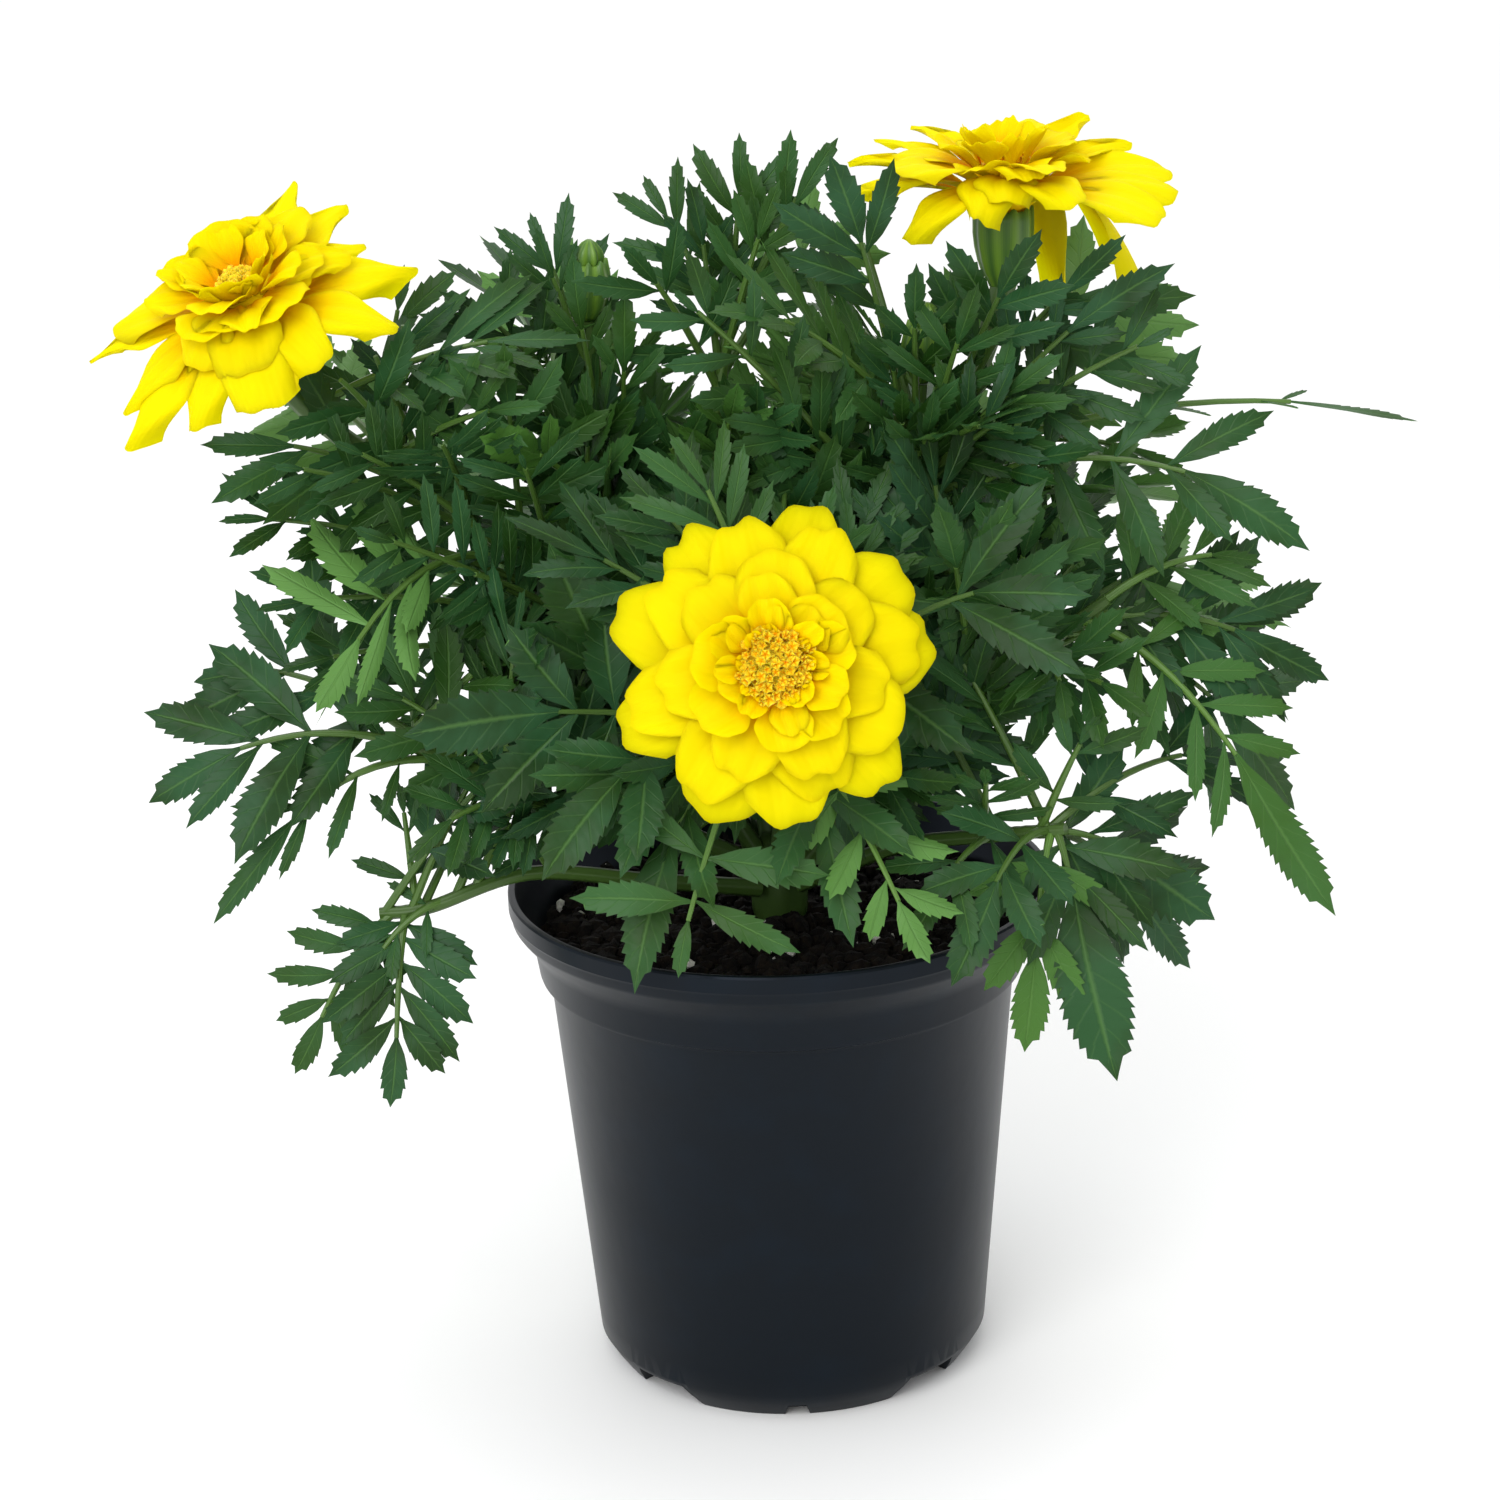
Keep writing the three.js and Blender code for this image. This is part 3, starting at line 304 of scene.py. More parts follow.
def makeLeafBlade():
    look = leafBlade
    material, tree = newMaterial("waxyLeafBlade")
    mark, part = readMarks(tree)
    # 0 on the rib to 0.5 at the edge
    offset = addNode(
        tree, "ShaderNodeMath", {"operation": "SUBTRACT", 1: 0.5}, {0: part.outputs["Green"]}
    )
    fromRib = addNode(tree, "ShaderNodeMath", {"operation": "ABSOLUTE"}, {0: offset})
    # side veins run out from the rib and slant forward
    count = addNode(
        tree, "ShaderNodeMath", {"operation": "MULTIPLY", 1: look["sideVeins"]}, {0: part.outputs["Red"]}
    )
    slant = addNode(
        tree, "ShaderNodeMath", {"operation": "MULTIPLY_ADD", 1: -look["sideVeinSlant"]},
        {0: fromRib, 2: count},
    )
    beat = addNode(tree, "ShaderNodeMath", {"operation": "PINGPONG", 1: 0.5}, {0: slant})
    sideVein = addNode(
        tree, "ShaderNodeMapRange",
        {"From Max": look["sideVeinWidth"], "To Min": look["sideVeinShow"], "To Max": 0.0},
        {"Value": beat},
    )
    rib = addNode(
        tree, "ShaderNodeMapRange",
        {"From Min": 0.01, "From Max": look["ribWidth"], "To Min": 1.0, "To Max": 0.0},
        {"Value": fromRib},
    )
    veins = addNode(tree, "ShaderNodeMath", {"operation": "MAXIMUM"}, {0: sideVein, 1: rib})
    place = addNode(tree, "ShaderNodeTexCoord")
    patch = addNode(
        tree, "ShaderNodeTexNoise", {"Scale": 1 / (look["patchSize"] * mm), "Detail": 4.0},
        {"Vector": place.outputs["Object"]},
    )
    low, high = look["patchRange"]
    patchShare = addNode(
        tree, "ShaderNodeMapRange", {"From Min": low, "From Max": high}, {"Value": patch}
    )
    skin = addNode(
        tree, "ShaderNodeMix",
        {"data_type": "RGBA", 6: colour(look["deep"]), 7: colour(look["cool"])},
        {0: patchShare},
    )
    aged = addNode(
        tree, "ShaderNodeMix", {"data_type": "RGBA", 7: colour(look["young"])},
        {0: mark.outputs["Alpha"], 6: skin.outputs[2]},
    )
    veinShare = addNode(
        tree, "ShaderNodeMath", {"operation": "MULTIPLY", 1: look["veinShow"]}, {0: veins}
    )
    veined = addNode(
        tree, "ShaderNodeMix", {"data_type": "RGBA", 7: colour(look["vein"])},
        {0: veinShare, 6: aged.outputs[2]},
    )
    # the teeth end in a dusky line
    edgeShare = addNode(
        tree, "ShaderNodeMapRange",
        {"From Min": look["edgeStart"], "From Max": 0.5, "To Max": look["edgeShow"]},
        {"Value": fromRib},
    )
    edged = addNode(
        tree, "ShaderNodeMix", {"data_type": "RGBA", 7: colour(look["edge"])},
        {0: edgeShare, 6: veined.outputs[2]},
    )
    sided = addNode(
        tree, "ShaderNodeMix", {"data_type": "RGBA", 7: colour(look["under"])},
        {0: part.outputs["Blue"], 6: edged.outputs[2]},
    )
    bump = addNode(
        tree, "ShaderNodeBump",
        {"invert": True, "Strength": look["veinDepth"], "Distance": look["veinHeight"] * mm},
        {"Height": veins},
    )
    finishMaterial(tree, look, {"Base Color": sided.outputs[2], "Normal": bump})
    return material


# Green stem: living skin with fine ribs along it, brighter and yellower on young shoots
stemSkin = {
    "old": "#33491f",
    "young": "#587f30",
    "ribs": 7,
    "ribDepth": 0.3,
    "ribHeight": 0.2,
    "roughness": 0.42,
    "ior": 1.43,
}


def makeStemSkin():
    look = stemSkin
    material, tree = newMaterial("ribbedGreenStem")
    mark, part = readMarks(tree)
    skin = addNode(
        tree, "ShaderNodeMix",
        {"data_type": "RGBA", 6: colour(look["old"]), 7: colour(look["young"])},
        {0: mark.outputs["Alpha"]},
    )
    wave = waveAcross(tree, part, 2 * math.pi * look["ribs"], "SINE")
    bump = addNode(
        tree, "ShaderNodeBump", {"Strength": look["ribDepth"], "Distance": look["ribHeight"] * mm},
        {"Height": wave},
    )
    finishMaterial(tree, look, {"Base Color": skin.outputs[2], "Normal": bump})
    return material


# Petal: velvety cells scatter the light, so the yellow is full and almost without gloss. It
# turns orange at the root and in the heart of the bloom, partly its own colour and partly painted
# warm shade in the creases between petals and in the heart, and duller underneath.
velvetPetal = {
    "face": "#e8d200",
    # the inner and root oranges are partly the petal's own colour and partly painted warm shade
    "inner": "#ecc600",
    "root": "#f09800",
    "under": "#ccb800",
    "rootAndCreaseShadeRange": (0.05, 0.7),
    "streaks": 18,
    "streakDepth": 0.12,
    "streakHeight": 0.15,
    "roughness": 0.65,
    "sheen": 0.05,
    "ior": 1.4,
    "scatter": 0.6,
    "scatterDepth": 1.6,
    "scatterSpread": (1, 0.92, 0.25),
}


def makeVelvetPetal():
    look = velvetPetal
    material, tree = newMaterial("velvetPetal")
    mark, part = readMarks(tree)
    # the heart petals take the inner orange, partly their own colour and partly painted warm shade
    warmedAndShaded = addNode(
        tree, "ShaderNodeMix",
        {"data_type": "RGBA", 6: colour(look["face"]), 7: colour(look["inner"])},
        {0: mark.outputs["Alpha"]},
    )
    # the root orange fades out along the petal: partly its own colour, partly painted warm shade in the
    # creases
    low, high = look["rootAndCreaseShadeRange"]
    rootAndCreaseShadeShare = addNode(
        tree, "ShaderNodeMapRange",
        {"interpolation_type": "SMOOTHSTEP", "From Min": low, "From Max": high, "To Min": 1.0,
         "To Max": 0.0},
        {"Value": part.outputs["Red"]},
    )
    rooted = addNode(
        tree, "ShaderNodeMix", {"data_type": "RGBA", 7: colour(look["root"])},
        {0: rootAndCreaseShadeShare, 6: warmedAndShaded.outputs[2]},
    )
    sided = addNode(
        tree, "ShaderNodeMix", {"data_type": "RGBA", 7: colour(look["under"])},
        {0: part.outputs["Blue"], 6: rooted.outputs[2]},
    )
    wave = waveAcross(tree, part, math.pi * look["streaks"], "SINE")
    bump = addNode(
        tree, "ShaderNodeBump",
        {"Strength": look["streakDepth"], "Distance": look["streakHeight"] * mm},
        {"Height": wave},
    )
    finishMaterial(tree, look, {"Base Color": sided.outputs[2], "Normal": bump})
    return material


# Disc floret: small waxy tubes, deep gold low down the tube with paler curled lobes; the deep gold
# low down is partly the floret's own colour and partly painted shade between the crowded florets
waxyFloret = {
    # the deep gold is partly the florets' own colour and partly painted shade low between them
    "deep": "#fbb600",
    "lobe": "#fff03c",
    "roughness": 0.6,
    "sheen": 0.05,
    "scatter": 0.4,
    "scatterDepth": 1.5,
    "scatterSpread": (1, 0.7, 0.1),
}


def makeWaxyFloret():
    look = waxyFloret
    material, tree = newMaterial("waxyFloret")
    _, part = readMarks(tree)
    skin = addNode(
        tree, "ShaderNodeMix",
        {"data_type": "RGBA", 6: colour(look["deep"]), 7: colour(look["lobe"])},
        {0: part.outputs["Red"]},
    )
    finishMaterial(tree, look, {"Base Color": skin.outputs[2]})
    return material


# Calyx: a smooth fleshy cup, yellow-green along its ridges and deeper between them
ridgedCalyx = {
    "furrow": "#44692a",
    "ridge": "#668a2c",
    "ridges": 10,
    "roughness": 0.4,
    "ior": 1.43,
}


def makeRidgedCalyx():
    look = ridgedCalyx
    material, tree = newMaterial("ridgedCalyx")
    _, part = readMarks(tree)
    wave = waveAcross(tree, part, 2 * math.pi * look["ridges"], "COSINE")
    share = addNode(tree, "ShaderNodeMapRange", {"From Min": -1.0}, {"Value": wave})
    skin = addNode(
        tree, "ShaderNodeMix",
        {"data_type": "RGBA", 6: colour(look["furrow"]), 7: colour(look["ridge"])},
        {0: share},
    )
    finishMaterial(tree, look, {"Base Color": skin.outputs[2]})
    return material


# Polypropylene, thermoformed: a near-black sheet with a soft sheen, a faint ripple left by the
# forming and a few duller rubbed patches
formedPlastic = {
    "black": "#0d1114",
    "rubbed": "#0d1318",
    "roughness": 0.36,
    "ior": 1.49,
    "sheen": 0.155,
    "tint": "#d5e4ff",
    "rippleSize": 11.0,
    "rippleDepth": 0.3,
    "rippleHeight": 0.3,
    "rubbedRange": (0.48, 0.75),
    "grainSize": 0.7,
    "grainShare": 0.06,
}


def makeFormedPlastic():
    look = formedPlastic
    material, tree = newMaterial("thermoformedPolypropylene")
    place = addNode(tree, "ShaderNodeTexCoord")
    ripple = addNode(
        tree, "ShaderNodeTexNoise", {"Scale": 1 / (look["rippleSize"] * mm), "Detail": 2.0},
        {"Vector": place.outputs["Object"]},
    )
    grain = addNode(
        tree, "ShaderNodeTexNoise", {"Scale": 1 / (look["grainSize"] * mm), "Detail": 2.0},
        {"Vector": place.outputs["Object"]},
    )
    low, high = look["rubbedRange"]
    rubbed = addNode(tree, "ShaderNodeMapRange", {"From Min": low, "From Max": high}, {"Value": ripple})
    skin = addNode(
        tree, "ShaderNodeMix",
        {"data_type": "RGBA", 6: colour(look["black"]), 7: colour(look["rubbed"])},
        {0: rubbed},
    )
    height = addNode(
        tree, "ShaderNodeMath", {"operation": "MULTIPLY_ADD", 1: look["grainShare"]},
        {0: grain, 2: ripple},
    )
    bump = addNode(
        tree, "ShaderNodeBump",
        {"Strength": look["rippleDepth"], "Distance": look["rippleHeight"] * mm},
        {"Height": height},
    )
    finishMaterial(tree, look, {"Base Color": skin.outputs[2], "Normal": bump})
    return material


# Peat potting soil, screened: black-brown, dry and matt, broken into fine crumbs
screenedPeat = {
    "black": "#070504",
    "brown": "#1d160e",
    "brownRange": (0.42, 0.75),
    "crumbSize": 1.8,
    "crumbDepth": 0.8,
    "crumbHeight": 0.8,
    "roughness": 0.95,
    "sheen": 0.2,
}


def makeScreenedPeat():
    look = screenedPeat
    material, tree = newMaterial("screenedPeat")
    place = addNode(tree, "ShaderNodeTexCoord")
    crumbs = addNode(
        tree, "ShaderNodeTexNoise", {"Scale": 1 / (look["crumbSize"] * mm), "Detail": 6.0},
        {"Vector": place.outputs["Object"]},
    )
    low, high = look["brownRange"]
    share = addNode(tree, "ShaderNodeMapRange", {"From Min": low, "From Max": high}, {"Value": crumbs})
    skin = addNode(
        tree, "ShaderNodeMix",
        {"data_type": "RGBA", 6: colour(look["black"]), 7: colour(look["brown"])},
        {0: share},
    )
    bump = addNode(
        tree, "ShaderNodeBump",
        {"Strength": look["crumbDepth"], "Distance": look["crumbHeight"] * mm},
        {"Height": crumbs},
    )
    finishMaterial(tree, look, {"Base Color": skin.outputs[2], "Normal": bump})
    return material


# Perlite, puffed volcanic glass: chalky white grains with grey pits
puffedPerlite = {"white": "#e9e7e0", "pit": "#a8a59b", "pitSize": 0.6, "roughness": 0.9}


def makePuffedPerlite():
    look = puffedPerlite
    material, tree = newMaterial("puffedPerlite")
    place = addNode(tree, "ShaderNodeTexCoord")
    pits = addNode(
        tree, "ShaderNodeTexNoise", {"Scale": 1 / (look["pitSize"] * mm), "Detail": 3.0},
        {"Vector": place.outputs["Object"]},
    )
    skin = addNode(
        tree, "ShaderNodeMix",
        {"data_type": "RGBA", 6: colour(look["white"]), 7: colour(look["pit"])},
        {0: pits},
    )
    finishMaterial(tree, look, {"Base Color": skin.outputs[2]})
    return material


def cut(leaflet=None, slim=None, tone=None, firstPair=None, lastPair=None, **turns):
    # a leaf's own cut: length and slimness of its leaflets, tone, place of the first and last
    # pair along the rib, and how the pairs are turned
    own = {"leaflet": leaflet, "slim": slim, "tone": tone, "firstPair": firstPair,
           "lastPair": lastPair, **turns}
    return {key: value for key, value in own.items() if value is not None}


# Leafy stems. A route runs from the crown outwards; radii are at its foot, middle and end.
# A leaf is: place along the stem, tip, pairs of leaflets, turn of the blade from flat to facing
# the stem's open side (below 0 shows the underside), arch, and its own cut if it has one.
leafyStems = [
    {
        "name": "left_bloom",
        "route": [[-3, 2, 106], [-28, 4, 145], [-58, 2, 178], [-84, 0, 199], [-92.9, -0.7, 208.7]],
        "radii": [2.0, 1.6, 2.6],
        "leaves": [
            [0.52, [-109, -14, 201], 3, 0.6, 0.1, cut(slim=0.27)],
            [0.58, [-88, -30, 222], 3, 0.75, 0.1],
            [0.42, [-50, -14, 219], 3, 0.75, 0.05],
            [0.42, [-86, -56, 158], 4, -0.5, 0.2,
             cut(28, 0.29, 0.3, 0.46, 0.74, open=76, close=54, skew=-46)],
            [0.66, [-69, 16, 229], 3, 0.7, 0.1],
            [0.62, [-102, 40, 196], 3, -0.6, 0.15],
        ],
    },
    {
        "name": "right_bloom",
        "route": [[4, 4, 106], [16, 2, 145], [28, 2, 180], [42, 12, 203], [48.7, 16.3, 221.5]],
        "radii": [2.2, 1.8, 2.6],
        "leaves": [
            [0.49, [106, -22, 177], 3, 0.7, 0.16, cut(26, firstPair=0.36, lastPair=0.64)],
            [0.46, [-17, -22, 230], 5, 0.75, 0.04, cut(18, 0.25, 0.12, 0.2, 0.84)],
            [0.66, [60, -8, 236], 3, 0.8, 0.04, cut(15, 0.28)],
            [0.6, [76, 2, 232], 3, 0.75, 0.08, cut(slim=0.27)],
            [0.56, [131, 12, 191], 3, 0.1, 0.08, cut(14, 0.16, 0.3, lastPair=0.7)],
            [0.6, [84, 44, 212], 3, -0.6, 0.14],
        ],
    },
    {
        "name": "front_bloom",
        "route": [[0, 0, 106], [2, -10, 124], [2, -21, 141], [1, -31, 154], [0, -41.9, 160.5]],
        "radii": [2.2, 1.9, 2.6],
        "leaves": [
            [0.55, [60, -48, 176], 2, 0.7, 0.14, cut(slim=0.3, tone=0.05)],
            [0.3, [-32, -60, 104], 2, 0.35, 0.3],
            [0.36, [12, -62, 112], 2, 0.4, 0.3],
        ],
    },
    {
        "name": "top",
        "route": [[-1, 6, 106], [-8, 12, 150], [-10, 14, 190], [-5, 14, 222]],
        "radii": [2.2, 1.6, 1.1],
        "leaves": [
            [0.92, [-2, 14, 253], 3, 0.85, 0],
            [0.88, [-23, 20, 244], 3, 0.8, 0.08],
            [0.86, [16, 12, 252], 3, 0.8, 0.06],
            [0.78, [-26, -8, 236], 2, 0.7, 0.06, cut(tone=0.15)],
            [0.6, [6, -24, 206], 3, 0.8, 0.06],
            [0.8, [22, 44, 230], 3, -0.7, 0.1],
        ],
    },
    {
        "name": "top_left",
        "route": [[-5, 8, 106], [-20, 14, 145], [-31, 16, 180], [-34, 13, 216.6]],
        "radii": [2.0, 1.5, 1.4],
        "leaves": [
            [0.86, [-46, 22, 237], 3, 0.8, 0.08, cut(tone=0.12)],
            [0.76, [-62, 6, 226], 3, 0.8, 0.08],
            [0.6, [-36, -14, 208], 3, 0.8, 0.05],
            [0.74, [-50, 48, 222], 3, -0.7, 0.1],
        ],
    },
    {
        "name": "middle_bud",
        "route": [[8, 8, 106], [20, 10, 150], [29, 8, 182], [31, 5, 203.6]],
        "radii": [1.8, 1.4, 1.4],
        "leaves": [
            [0.8, [16, 18, 246], 3, 0.8, 0.06],
            [0.6, [26, -20, 208], 2, 0.8, 0.06, cut(tone=0.2)],
            [0.5, [56, 38, 190], 3, -0.5, 0.12],
        ],
    },
    {
        "name": "low_left",
        "route": [[-4, -1, 101], [-26, -8, 106], [-50, -12, 110], [-70, -16, 105], [-80, -16, 104]],
        "radii": [1.9, 1.5, 1.2],
        "leaves": [
            [0.92, [-98, -24, 72], 4, 0.7, 0.12, cut(15, 0.34, firstPair=0.16, lastPair=0.64)],
            [0.85, [-78, -32, 68], 5, 0.7, 0.16, cut(18, 0.36, 0.08, 0.12, 0.66)],
            [0.8, [-75, -10, 130], 2, 0.7, 0.05],
        ],
    },
    {
        "name": "middle_left",
        "route": [[-4, 0, 105], [-22, -8, 117], [-43, -14, 124], [-60, -17, 134], [-74, -20, 142]],
        "radii": [2.2, 1.7, 1.3],
        "leaves": [
            [0.92, [-124, -24, 132], 3, 0.6, 0.14, cut(28, 0.33, 0.05)],
            [0.86, [-116, -6, 152], 3, 0.6, 0.14, cut(26, 0.32, 0.05)],
            [0.8, [-111, -36, 110], 3, 0.5, 0.2, cut(18, 0.2)],
            [0.52, [-73, -36, 122], 3, 0.6, 0.16, cut(tone=0.2)],
            [0.26, [-41, -44, 186], 3, 0.85, 0.04, cut(24, 0.38, firstPair=0.3, lastPair=0.55)],
        ],
    },
    {
        "name": "right",
        "route": [[5, 0, 105], [28, -6, 134], [50, -10, 151], [66, -12, 163]],
        "radii": [2.1, 1.6, 1.2],
        "leaves": [
            [0.88, [107, -36, 102], 4, 0.5, 0.16, cut(22, 0.24, 0.5)],
            [0.95, [98, -6, 168], 3, 0.6, 0.14, cut(18, tone=0.35)],
            [0.8, [110, -12, 143], 3, 0.6, 0.16],
            [0.6, [72, -40, 148], 3, 0.7, 0.1],
            [0.55, [52, -30, 188], 3, 0.8, 0.05],
            [0.75, [102, 34, 150], 3, -0.4, 0.15],
        ],
    },
    {
        "name": "low_right",
        "route": [[4, -2, 102], [24, -12, 113], [44, -24, 119], [56, -30, 122]],
        "radii": [1.9, 1.5, 1.2],
        "leaves": [
            [0.95, [62, -48, 75], 2, 0.75, 0.12, cut(25, 0.36, 0.1, 0.12, 0.25)],
            [0.88, [86, -30, 100], 2, 0.7, 0.14, cut(24, 0.42, 0.05, 0.1, 0.25)],
            [0.78, [82, -10, 82], 3, 0.6, 0.18],
            [0.72, [24, -58, 108], 2, 0.65, 0.18],
            [0.85, [62, -36, 148], 2, 0.8, 0.04],
            [0.9, [94, -14, 130], 2, 0.5, 0.14],
        ],
    },
]

# Far-side stems, with leaves set out by a rule
backStems = [
    {"name": "back_left", "end": [-42, 46, 186], "bend": [-28, 28, 140], "leaves": 4, "seed": 21},
    {"name": "back_right", "end": [42, 48, 182], "bend": [30, 30, 138], "leaves": 4, "seed": 34},
    {"name": "back_middle", "end": [0, 56, 148], "bend": [1, 34, 132], "leaves": 3, "seed": 55},
]
backLeaf = {
    "first": 0.45,
    "length": 58,
    "pairs": 3,
    "lean": 0.5,
    "arch": 0.12,
    "turn": (0.5, 1.1),
    "rise": (-0.15, 0.6),
    "radii": [2.0, 1.6, 1.1],
}
crownStem = {"foot": (0, 4, 80), "top": (0, 4, 111), "radius": 5.2}

# Slender leaflets set far along the rib, as on the leaves under the side blooms
fern = cut(18, 0.23, 0.1, 0.36, 0.8)

# Leaves on the same stems that are too many for the model
moreLeaves = {
    "left_bloom": [
        [0.38, (-106, -20, 188), 4, 0.5, 0.06, fern],
        [0.3, (-99, -30, 172), 4, 0.5, 0.08, fern],
        [0.34, (-92, -14, 184), 5, 0.6, 0.05, fern],
        [0.25, (-96, -24, 158), 4, 0.6, 0.08, fern],
        [0.3, (-78, -40, 190), 5, 0.8, 0.04, fern],
        [0.62, (-68, -6, 236), 3, 0.8, 0.02, cut(15, 0.26)],
        [0.56, (-80, -14, 232), 3, 0.8, 0.02, cut(16, 0.24)],
        [0.5, (-62, -30, 205), 5, 0.8, 0.05, fern],
        [0.4, (-82, -30, 205), 5, 0.8, 0.05, fern],
        [0.46, (-94, -28, 200), 4, 0.7, 0.06, fern],
        [0.3, (-60, -34, 180), 4, 0.8, 0.05, fern],
        [0.36, (-47, -24, 200), 4, 0.85, 0.04, fern],
    ],
    "top": [
        [0.9, (15, 6, 253), 3, 0.85, 0, cut(15, 0.24)],
        [0.84, (4, 0, 246), 3, 0.85, 0.02, cut(16, 0.24, 0.3)],
        [0.8, (-12, 4, 246), 3, 0.85, 0.02, cut(15, 0.24)],
        [0.5, (-5, -30, 212), 3, 0.8, 0.1, cut(16, 0.24, 0.6)],
    ],
    "front_bloom": [
        [0.8, (-21, -62, 106), 2, 0.6, 0.1, cut(28, 0.3, 0.3, 0.68, 0.8, open=104, close=80)],
        [0.5, (-70, -50, 155), 2, 0.9, 0.04, cut(28, 0.4, 0.02, 0.44, 0.56)],
        [0.62, (27, -66, 108), 3, -0.3, 0.08, cut(18, 0.36, 0.5, 0.4, 0.75)],
        [0.5, (-47, -62, 129), 2, 0.6, 0.15, cut(24, 0.36, 0.1)],
        [0.6, (-42, -52, 128), 2, 0.8, 0.1],
        [0.35, (-30, -54, 144), 3, 0.8, 0.05],
        [0.3, (34, -50, 138), 3, 0.8, 0.05],
    ],
    "right_bloom": [
        [0.6, (51.5, -21, 238.5), 2, 0.85, 0.04, cut(21, 0.3, 0.05, 0.46, 0.6, open=48)],
        [0.62, (69.7, -17, 236.5), 2, 0.85, 0.04, cut(19, 0.22, 0.03, 0.46, 0.6, open=40, close=34)],
        [0.5, (77.5, -16, 232.5), 3, 0.8, 0.05, cut(18, 0.24, 0.02)],
        [0.55, (41, -20, 228), 3, 0.8, 0.05, cut(17, 0.24)],
        [0.5, (57, -16, 214), 3, 0.8, 0.05, cut(18, 0.26)],
        [0.5, (80, -10, 216), 5, 0.7, 0.06, fern],
    ],
    "low_right": [
        [0.9, (33, -60, 101), 2, 0.6, 0.2, cut(22, 0.36, 0.1, 0.3, 0.5)],
        [0.92, (47, -44, 80), 2, 0.7, 0.15, cut(20, 0.36)],
        [0.6, (40, -44, 140), 3, 0.8, 0.05],
    ],
    "right": [
        [0.8, (107, 0, 113), 3, 0.5, 0.15],
        [0.7, (56, -46, 150), 3, 0.8, 0.1],
        [0.5, (33, -46, 192), 3, 0.85, 0.04],
        [0.9, (112, 0, 139), 3, 0.6, 0.12],
    ],
    "middle_bud": [
        [0.72, (15, -16, 253), 2, 0.85, 0.04, cut(24, 0.34, 0.02, 0.56, 0.65)],
        [0.75, (29, -20, 232), 3, 0.85, 0.04, cut(16, 0.25, 0.1)],
        [0.62, (24, -8, 222), 2, 0.85, 0.03, cut(15, 0.26)],
        [0.7, (38, -6, 218), 2, 0.85, 0.03, cut(13, 0.26)],
    ],
    "top_left": [
        [0.6, (-52, -28, 205), 2, 0.8, 0.05, cut(14, 0.42, 0.85)],
        [0.88, (-44, 8, 237), 3, 0.85, 0, cut(14, 0.24)],
        [0.7, (-37, -2, 233), 2, 0.85, 0.03, cut(14, 0.26)],
        [0.6, (-26, -4, 226), 2, 0.85, 0.03, cut(15, 0.26)],
    ],
    "middle_left": [
        [0.45, (-62, -30, 118), 3, 0.7, 0.15],
        [0.6, (-84, -26, 158), 3, 0.7, 0.08],
        [0.35, (-55, -42, 152), 3, 0.8, 0.06],
    ],
    "low_left": [
        [0.45, (-56, -30, 128), 2, 0.7, 0.1],
        [0.7, (-84, -24, 92), 2, 0.6, 0.15],
    ],
}

# How leaves are made. The leaflets stand at the opening angle off the rib at the first pair and
# at the closing one at the last; skew opens one side of the leaf and closes the other.
leafForm = {
    "thickness": 0.4,
    "slim": 0.28,
    "crowding": 1.6,
    "firstPair": 0.24,
    "lastPair": 0.58,
    "open": 64,
    "close": 38,
    "skew": 0,
    "unevenTurn": 7,
    "ribRunOut": 3.4,
    "ribRadii": (1.0, 0.5),
    "plainBase": 0.34,
    "toothedTo": 0.86,
    "toothSpacing": 2.5,
    "toothDepth": 0.18,
    "toothPeak": 0.62,
    "toothOut": 1.04,
    "toothAhead": 0.42,
    "fold": 0.22,
    "wave": 0.05,
    "droop": (0.02, 0.16),
    "sway": (-0.1, 0.1),
    "broad": {2: 0.5, 3: 0.44, 4: 0.39, 5: 0.34},  # leaflet length by number of pairs
}
# The leaves at the top of the plant are more upright and narrower
uprightStems = ("top", "top_left", "middle_bud")
uprightForm = cut(slim=0.26, open=52, close=32)
stemForm = {"steps": 40, "sides": 12, "swell": 0.12, "ridge": 0.05, "tone": 0.3}


def backStem(stem):
    seed = stem["seed"]
    crownSide = crownStem["foot"][1] + 3
    route = [[stem["bend"][0] * 0.08, crownSide, 106], stem["bend"], stem["end"]]
    leaves = []
    for i in range(stem["leaves"]):
        t = backLeaf["first"] + (1 - backLeaf["first"]) * (i + 0.6) / stem["leaves"]
        root = curvePoint(route, t)
        side = 1 if i % 2 == 0 else -1
        turn = math.atan2(root.y, root.x) + side * between(*backLeaf["turn"], seed + i)
        rise = between(*backLeaf["rise"], seed + i * 5)
        length = backLeaf["length"] * between(0.85, 1.15, seed + i * 9)
        tip = root + Vector((math.cos(turn), math.sin(turn), rise)) * length
        leaves.append([t, tip, backLeaf["pairs"], backLeaf["lean"], backLeaf["arch"]])
    return {
        "name": stem["name"],
        "route": route,
        "radii": backLeaf["radii"],
        "faces": toBack,
        "leaves": leaves,
    }


def ribFrames(root, tip, hint, lean, arch):
    # the rib's curve: its place, direction, upper side and side direction at any share of it
    span = (tip - root).length
    middle = (root + tip) * 0.5 + up * (2 * arch * span)

    def at(s):
        place = root * (1 - s) ** 2 + middle * (2 * s * (1 - s)) + tip * s**2
        along = ((middle - root) * (1 - s) + (tip - middle) * s).normalized()
        top = (hint - along * hint.dot(along)).normalized()
        if lean < 0:
            top = -top
        return place, along, top, along.cross(top)

    return at


def leafletHalf(u):
    # share of the full half width along a leaflet: wedge foot, widest past the middle, drawn tip
    return clamp(u) ** 1.2 * clamp(1 - u) / 0.217


